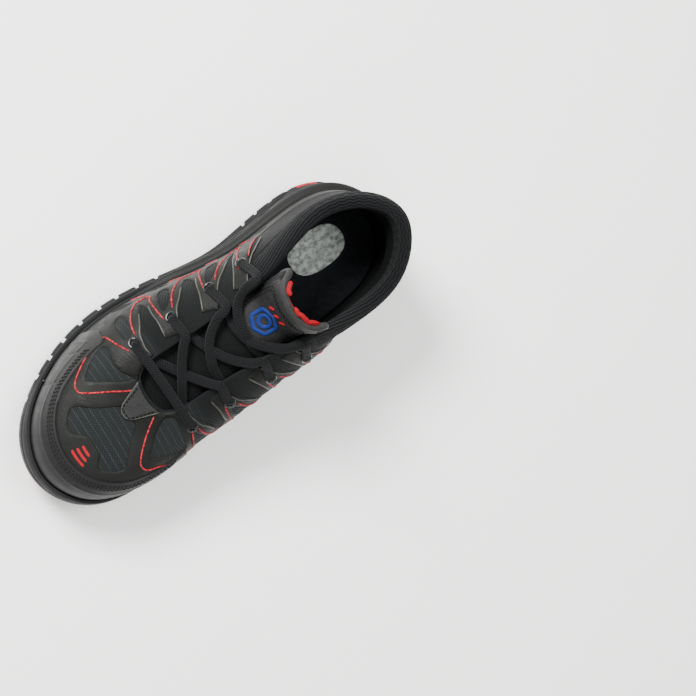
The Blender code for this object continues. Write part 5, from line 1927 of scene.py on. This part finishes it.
def make_insole():
    """Footbed of felt, slightly cupped at its edge."""
    u = around_places(300)
    low = seat(u)
    edge = -(UPPER_WALL + 2 * CLEARANCE)
    profile = ((0, 0), (0.3, 0), (0.7, 0), (0.9, 0.0003), (1.0, 0.0012), (0.96, 0.0030), (INSOLE_TOP, 0.0060))
    rings = []
    for height, back in profile:
        plan = edge_plan(u) + outward(u) * (edge - back)
        rings.append(np.column_stack((plan, low + height * INSOLE_THICKNESS)))
    piece = make_piece("footbed", stacked(rings), [footbed_cloth()], None, 50)
    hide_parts("insole")
    return piece


# Middle and half sizes of the footbed's label
LABEL_MIDDLE = (-0.0945, -0.0055)
LABEL_HALF = (0.0215, 0.0135)


def make_label():
    """Oval flocked label on the footbed, under the collar."""
    turns = np.linspace(0, 2 * math.pi, 64, endpoint=False)
    oval = []
    for half, turn in zip(LABEL_HALF, (np.cos(turns), np.sin(turns))):
        oval.append(half * np.sign(turn) * np.abs(turn) ** 0.8)
    profile = ((1.0, -0.0002), (1.0, 0.0002), (0.97, 0.0005), (0.8, 0.0005), (0.5, 0.0005), (0.2, 0.0005))
    rings = []
    for share, height in profile:
        x, y = (LABEL_MIDDLE[k] + SHIFT[k] + share * oval[k] for k in (0, 1))
        rings.append(np.column_stack((x, y, footbed_height(x) + height)))
    points = np.concatenate(rings)
    made = (points, ring_faces(len(rings), len(turns), ends=True), points[:, :2])
    piece = make_piece("footbed_label", made, [label_print()], None, 50)
    return piece


def footbed_height(x):
    """Height of the footbed's top, joined straight across the shoe."""
    outer = np.linspace(0, section_at("heel back"), 200)
    along = edge_plan(outer)[:, 0]
    order = np.argsort(along)
    return np.interp(x, along[order], seat(outer)[order]) + INSOLE_TOP * INSOLE_THICKNESS


def make_midsole():
    """Foam midsole with its wall that rises to the heel."""
    u = around_places(480)
    x = edge_plan(u)[:, 0]
    step = rubber_line(u) + CLEARANCE
    line = lip_line(u)
    shown = smooth_step((line - step - 0.0012) / 0.004)
    over = shown * (RUBBER_WALL + 0.0004)
    low = ground(x) + RUBBER_FLOOR + CLEARANCE
    step = np.minimum(step, line - 0.0016)
    top_step = step + 0.0006
    hug = MIDSOLE_LIP
    rings = [
        side_point(u, low, hug - 0.001),
        side_point(u, (low + step) / 2, hug - 0.0004),
        side_point(u, step, hug),
    ]
    shares = (0.0, 0.1, 0.25, 0.4, 0.50, 0.53, 0.56, 0.60, 0.7, 0.82, 0.92, 0.98)
    outs = (1.0, 1.12, 1.22, 1.26, 1.23, 1.00, 1.00, 1.14, 1.02, 0.78, 0.50, 0.35)
    for share, out in zip(shares, outs):
        rings.append(side_point(u, top_step + (line - 0.0004 - top_step) * share, hug + over * out))
    rings += [
        side_point(u, line, hug * 0.55 + over * 0.15),
        side_point(u, line, CLEARANCE),
        side_point(u, (line + seat(u)) / 2, CLEARANCE),
        side_point(u, seat(u) - CLEARANCE, CLEARANCE),
    ]
    piece = make_piece("midsole_foam", stacked(rings), [midsole_foam()], None, 40)
    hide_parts("midsole")
    return piece


def make_box(low, high, turn=0.0):
    """Helper block between two corners, turned about its own centre."""
    centre = (np.array(low) + high) / 2
    half = (np.array(high) - low) / 2
    signs = [(a, b, c) for c in (-1, 1) for a, b in ((-1, -1), (1, -1), (1, 1), (-1, 1))]
    c, s = math.cos(turn), math.sin(turn)
    points = centre + (np.array(signs) * half) @ np.array(((c, s, 0), (-s, c, 0), (0, 0, 1)))
    faces = [(0, 3, 2, 1), (4, 5, 6, 7), (0, 1, 5, 4), (1, 2, 6, 5), (2, 3, 7, 6), (3, 0, 4, 7)]
    return points, faces


def make_cutter(name, blocks):
    """One hidden helper object from several separate blocks."""
    points = []
    faces = []
    for block, block_faces in blocks:
        faces += [tuple(i + len(points) for i in f) for f in block_faces]
        points += (np.array(block) - SHIFT).tolist()
    mesh = bpy.data.meshes.new(name)
    mesh.from_pydata(points, [], faces)
    face_out(mesh)
    helper = linked(name, mesh)
    helper.hide_render = True
    helper.display_type = "WIRE"
    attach(helper, "root")
    return helper


def combine(piece, helper, operation="DIFFERENCE"):
    modifier = piece.modifiers.new(helper.name, "BOOLEAN")
    modifier.operation = operation
    modifier.solver = "EXACT"
    modifier.object = helper
    return modifier


def chevron(x, low, high):
    """Prism of a V across the sole, its point towards the toe."""
    half = BALL_WIDTH * 0.62
    width = LUG_GROOVE / 2
    outline = [
        (x - LUG_SWEEP - width, -half), (x - width, 0), (x - LUG_SWEEP - width, half),
        (x - LUG_SWEEP + width, half), (x + width, 0), (x - LUG_SWEEP + width, -half),
    ]
    n = len(outline)
    faces = ring_faces(2, n)
    faces += [(0, 1, 4, 5), (1, 2, 3, 4), (n, n + 1, n + 4, n + 5), (n + 1, n + 2, n + 3, n + 4)]
    return [(a, b, c) for c in (low, high) for a, b in outline], faces


def side_place(share, inner):
    """Place round the shoe where the bottom edge passes a share of SHOE_LENGTH."""
    heel = section_at("heel back")
    tries = np.linspace(heel, 1, 300) if inner else np.linspace(0, heel, 300)
    along = edge_plan(tries)[:, 0] / SHOE_LENGTH + 0.5
    order = np.argsort(along)
    return float(np.interp(share, along[order], tries[order]))


def side_notches():
    """Notches in the edge of the sole between its side lugs, on both sides."""
    blocks = []
    reach = MIDSOLE_LIP + CLEARANCE + RUBBER_WALL + (CUTTER_ROOM - NOTCH_DEPTH) / 2
    half = np.array(((CUTTER_ROOM + NOTCH_DEPTH) / 2, LUG_GROOVE / 2, 0))
    for share in LUG_GAPS:
        for inner in (False, True):
            u = np.array([side_place(share, inner)])
            base = float(ground(edge_plan(u)[:, 0])[0])
            centre = side_point(u, np.array([base + NOTCH_HEIGHT]), reach)[0]
            out = outward(u)[0]
            low = centre - half - (0, 0, NOTCH_HEIGHT + CUTTER_ROOM)
            blocks.append(make_box(low, centre + half, math.atan2(out[1], out[0])))
    return make_cutter("side_notches", blocks)


def lug_grooves():
    """Grooves across the sole between its lugs, each as deep as the ground there asks."""
    blocks = []
    for share in LUG_GAPS:
        x = along_at(share + 0.02)
        base = float(ground(x))
        blocks.append(chevron(x, base - CUTTER_ROOM, base + LUG_DEPTH))
    return make_cutter("lug_grooves", blocks)


def length_grooves():
    """Two straight channels along the forefoot that part the middle lugs from the side lugs."""
    blocks = []
    for y in (-0.19 * BALL_WIDTH, 0.19 * BALL_WIDTH):
        low = (along_at(0.53), y - LUG_GROOVE / 2, -CUTTER_ROOM)
        blocks.append(make_box(low, (along_at(0.90), y + LUG_GROOVE / 2, LUG_DEPTH * 0.8)))
    return make_cutter("length_grooves", blocks)


def insert_blocks():
    """Low and high corner of each red rubber insert, without its gap."""
    toe = edge_plan(np.array(0.0))
    start = along_at(HEEL_FLAT[0]) + HEEL_INSERT_START
    low = (toe[0] - INSERT_DEPTH, toe[1] - INSERT_HALF_WIDTH, 0.15 * TOE_SPRING)
    high = (toe[0] + CUTTER_ROOM, toe[1] + INSERT_HALF_WIDTH, TOE_SPRING + 0.4 * INSERT_HEIGHT)
    blocks = {"toe_insert": (low, high)}
    for side, across in (("outer", -BALL_WIDTH), ("inner", BALL_WIDTH)):
        near, far = sorted((across * 0.27, across * 0.60))
        high = (start + HEEL_INSERT_LENGTH, far, 0.4 * RUBBER_HEIGHT)
        blocks["heel_insert_" + side] = ((start, near, -CUTTER_ROOM), high)
    return blocks


@functools.cache
def sole_solid():
    """Points, faces and map of the rubber sole before its grooves."""
    return stacked(sole_wall(around_places(480), np.linspace(0, 1, 33), True))


def make_outsole():
    """Rubber sole with its lugs, notches, channels and pockets."""
    piece = make_piece("rubber_sole", sole_solid(), [sole_rubber()], None, 35)
    corners = insert_blocks().values()
    pockets = [make_box(np.array(low) - CLEARANCE, np.array(high) + CLEARANCE) for low, high in corners]
    combine(piece, make_cutter("insert_pockets", pockets))
    combine(piece, lug_grooves())
    combine(piece, length_grooves())
    combine(piece, side_notches())
    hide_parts("outsole")
    return piece


def make_inserts():
    """Red rubber inserts at the toe and on both sides of the heel."""
    material = sole_rubber("moulded_red_rubber", colours().piping)
    pieces = []
    for name, corners in insert_blocks().items():
        piece = make_piece(name + "_rubber", sole_solid(), [material], None, 35)
        combine(piece, make_cutter(name + "_block", [make_box(*corners)]), "INTERSECT")
        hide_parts(name)
        pieces.append(piece)
    return pieces


def dark_binding():
    """Polyamide binding tape at the throat's edge: near black, close woven."""
    made, tree, shader = start_material("woven_binding_tape", linear("#131516"), 0.8)
    bump(tree, shader, weave(tree, 0.0008), 0.0002)
    return made


# The photograph's view: turns in degrees, metres, and lens for 36 mm across the picture
CAMERA_TURNS = (53.499, 70.306, -268.727)
CAMERA_DISTANCE = 1.13931
CAMERA_TARGET = (-0.07145, 0.06, 0.03591)
CAMERA_LENS = 36 * 1681.95 / 696


def aim_camera():
    """Camera over the shoe's instep, at the photograph's angle."""
    azimuth, elevation, roll = (math.radians(a) for a in CAMERA_TURNS)
    level = math.cos(elevation)
    back = Vector((math.sin(azimuth) * level, -math.cos(azimuth) * level, math.sin(elevation)))
    right = (-back).cross(Vector((0, 0, 1))).normalized()
    up = right.cross(-back)
    across = right * math.cos(roll) + up * math.sin(roll)
    upward = -right * math.sin(roll) + up * math.cos(roll)
    data = bpy.data.cameras.new("camera")
    data.lens = CAMERA_LENS
    data.sensor_width = 36
    camera = linked("camera", data)
    turn = Matrix((across, upward, back)).transposed().to_4x4()
    camera.matrix_world = Matrix.Translation(Vector(CAMERA_TARGET) + back * CAMERA_DISTANCE) @ turn
    bpy.context.scene.camera = camera


def add_light(name, place, aim, size, power):
    data = bpy.data.lights.new(name, "AREA")
    data.shape = "DISK"
    data.size = size
    data.energy = power
    lamp = linked(name, data)
    lamp.location = place
    lamp.rotation_euler = (Vector(aim) - Vector(place)).to_track_quat("-Z", "Y").to_euler()


def build_stage():
    """Pale floor, three soft lights and the camera."""
    mesh = bpy.data.meshes.new("floor")
    n = 33
    side = np.linspace(-3, 3, n)
    points = [(float(x), float(y), 0.0) for y in side for x in side]
    cells = [r * n + c for r in range(n - 1) for c in range(n - 1)]
    mesh.from_pydata(points, [], [(a, a + 1, a + n + 1, a + n) for a in cells])
    card, tree, shader = start_material("matt_white_card", linear("#f4f4f2"), 0.9)
    tinted(tree, shader, linear("#f4f4f2"), 0.2, 0.01)
    mesh.materials.append(card)
    floor = linked("floor", mesh)
    world = bpy.context.scene.world or bpy.data.worlds.new("studio")
    bpy.context.scene.world = world
    world.use_nodes = True
    background = world.node_tree.nodes["Background"]
    background.inputs["Color"].default_value = (1.0, 1.0, 1.0, 1)
    background.inputs["Strength"].default_value = 1.0
    add_light("key", (0.15, -1.15, 1.15), (0, 0, 0.03), 0.6, 74)
    add_light("fill", (0.9, 0.7, 1.4), (0, 0, 0.03), 1.2, 10)
    add_light("top", (-0.5, 0.1, 1.7), (0, 0, 0.05), 0.8, 22)
    aim_camera()


class SNEAKER_OT_cloth(bpy.types.Operator):
    """Builds the upper's cloth, rim and lining"""

    bl_idname = "sneaker.cloth"
    bl_label = "Upper cloth"

    def execute(self, context):
        make_cloth()
        return {"FINISHED"}


class SNEAKER_OT_film(bpy.types.Operator):
    """Builds the welded film with its windows"""

    bl_idname = "sneaker.film"
    bl_label = "Film"

    def execute(self, context):
        make_film()
        return {"FINISHED"}


class SNEAKER_OT_piping(bpy.types.Operator):
    """Builds the red piping lines"""

    bl_idname = "sneaker.piping"
    bl_label = "Piping"

    def execute(self, context):
        make_piping()
        return {"FINISHED"}


class SNEAKER_OT_toe_cap(bpy.types.Operator):
    """Builds the moulded toe cap"""

    bl_idname = "sneaker.toe_cap"
    bl_label = "Toe cap"

    def execute(self, context):
        make_toe_cap()
        return {"FINISHED"}


class SNEAKER_OT_patch(bpy.types.Operator):
    """Builds the patch at the foot of the throat"""

    bl_idname = "sneaker.patch"
    bl_label = "Throat patch"

    def execute(self, context):
        make_patch()
        return {"FINISHED"}


class SNEAKER_OT_eyelets(bpy.types.Operator):
    """Builds the rings of the lace holes"""

    bl_idname = "sneaker.eyelets"
    bl_label = "Eyelets"

    def execute(self, context):
        make_eyelets()
        return {"FINISHED"}


class SNEAKER_OT_tongue(bpy.types.Operator):
    """Builds the padded tongue"""

    bl_idname = "sneaker.tongue"
    bl_label = "Tongue"

    def execute(self, context):
        make_tongue()
        return {"FINISHED"}


class SNEAKER_OT_laces(bpy.types.Operator):
    """Builds the laces"""

    bl_idname = "sneaker.laces"
    bl_label = "Laces"

    def execute(self, context):
        make_laces()
        return {"FINISHED"}


class SNEAKER_OT_footbed(bpy.types.Operator):
    """Builds the footbed"""

    bl_idname = "sneaker.footbed"
    bl_label = "Footbed"

    def execute(self, context):
        make_insole()
        return {"FINISHED"}


class SNEAKER_OT_midsole(bpy.types.Operator):
    """Builds the foam midsole"""

    bl_idname = "sneaker.midsole"
    bl_label = "Midsole"

    def execute(self, context):
        make_midsole()
        return {"FINISHED"}


class SNEAKER_OT_sole(bpy.types.Operator):
    """Builds the rubber sole"""

    bl_idname = "sneaker.sole"
    bl_label = "Rubber sole"

    def execute(self, context):
        make_outsole()
        return {"FINISHED"}


class SNEAKER_OT_inserts(bpy.types.Operator):
    """Builds the red rubber inserts"""

    bl_idname = "sneaker.inserts"
    bl_label = "Inserts"

    def execute(self, context):
        make_inserts()
        return {"FINISHED"}


class SNEAKER_OT_stage(bpy.types.Operator):
    """Builds the floor, lights and camera"""

    bl_idname = "sneaker.stage"
    bl_label = "Stage"

    def execute(self, context):
        build_stage()
        return {"FINISHED"}


class SNEAKER_OT_stitches(bpy.types.Operator):
    """Sews the stitch rows of the cap, patch and tongue"""

    bl_idname = "sneaker.stitches"
    bl_label = "Stitches"

    def execute(self, context):
        make_stitches()
        return {"FINISHED"}


class SNEAKER_OT_tongue_rim(bpy.types.Operator):
    """Builds the rolled edge of the tongue"""

    bl_idname = "sneaker.tongue_rim"
    bl_label = "Tongue rim"

    def execute(self, context):
        make_tongue_rim()
        return {"FINISHED"}


class SNEAKER_OT_badge(bpy.types.Operator):
    """Builds the plain badge of the tongue"""

    bl_idname = "sneaker.badge"
    bl_label = "Badge"

    def execute(self, context):
        make_badge()
        return {"FINISHED"}


class SNEAKER_OT_label(bpy.types.Operator):
    """Builds the label on the footbed"""

    bl_idname = "sneaker.label"
    bl_label = "Footbed label"

    def execute(self, context):
        make_label()
        return {"FINISHED"}


class SNEAKER_OT_marks(bpy.types.Operator):
    """Prints the plain red bars at the toe"""

    bl_idname = "sneaker.marks"
    bl_label = "Toe marks"

    def execute(self, context):
        make_marks()
        return {"FINISHED"}


class SNEAKER_OT_film_edges(bpy.types.Operator):
    """Builds the edges of the film at the lace holes and round the patch, painted pale as a painted highlight
    """

    bl_idname = "sneaker.film_edges"
    bl_label = "Film edges"

    def execute(self, context):
        make_film_edges()
        return {"FINISHED"}


class SNEAKER_OT_lining(bpy.types.Operator):
    """Builds the red lining that shows at the tongue's wings"""

    bl_idname = "sneaker.lining"
    bl_label = "Tongue lining"

    def execute(self, context):
        make_tongue_lining()
        return {"FINISHED"}


OPERATORS = (
    SNEAKER_OT_cloth,
    SNEAKER_OT_film,
    SNEAKER_OT_film_edges,
    SNEAKER_OT_piping,
    SNEAKER_OT_marks,
    SNEAKER_OT_toe_cap,
    SNEAKER_OT_patch,
    SNEAKER_OT_eyelets,
    SNEAKER_OT_stitches,
    SNEAKER_OT_tongue,
    SNEAKER_OT_tongue_rim,
    SNEAKER_OT_lining,
    SNEAKER_OT_badge,
    SNEAKER_OT_laces,
    SNEAKER_OT_footbed,
    SNEAKER_OT_label,
    SNEAKER_OT_midsole,
    SNEAKER_OT_sole,
    SNEAKER_OT_inserts,
    SNEAKER_OT_stage,
)


class SNEAKER_PT_panel(bpy.types.Panel):
    """Sidebar panel with the sizes, the colours and a button for each piece."""

    bl_idname = "SNEAKER_PT_panel"
    bl_label = "Safety sneaker"
    bl_space_type = "VIEW_3D"
    bl_region_type = "UI"
    bl_category = "Sneaker"

    def draw(self, context):
        layout = self.layout
        for group in (context.scene.sneaker_sizes, context.scene.sneaker_colours):
            for name in group.__annotations__:
                layout.prop(group, name)
        for operator in OPERATORS:
            layout.operator(operator.bl_idname)


CLASSES = (SneakerSizes, SneakerColours, *OPERATORS, SNEAKER_PT_panel)


def register():
    for kind in CLASSES:
        bpy.utils.register_class(kind)
    bpy.types.Scene.sneaker_sizes = bpy.props.PointerProperty(type=SneakerSizes)
    bpy.types.Scene.sneaker_colours = bpy.props.PointerProperty(type=SneakerColours)


def unregister():
    del bpy.types.Scene.sneaker_colours
    del bpy.types.Scene.sneaker_sizes
    for kind in reversed(CLASSES):
        bpy.utils.unregister_class(kind)


def main():
    register()
    bpy.ops.sneaker.cloth()
    bpy.ops.sneaker.film()
    bpy.ops.sneaker.film_edges()
    bpy.ops.sneaker.piping()
    bpy.ops.sneaker.marks()
    bpy.ops.sneaker.toe_cap()
    bpy.ops.sneaker.patch()
    bpy.ops.sneaker.eyelets()
    bpy.ops.sneaker.stitches()
    bpy.ops.sneaker.tongue()
    bpy.ops.sneaker.tongue_rim()
    bpy.ops.sneaker.lining()
    bpy.ops.sneaker.badge()
    bpy.ops.sneaker.laces()
    bpy.ops.sneaker.footbed()
    bpy.ops.sneaker.label()
    bpy.ops.sneaker.midsole()
    bpy.ops.sneaker.sole()
    bpy.ops.sneaker.inserts()
    bpy.ops.sneaker.stage()


if __name__ == "__main__":
    main()
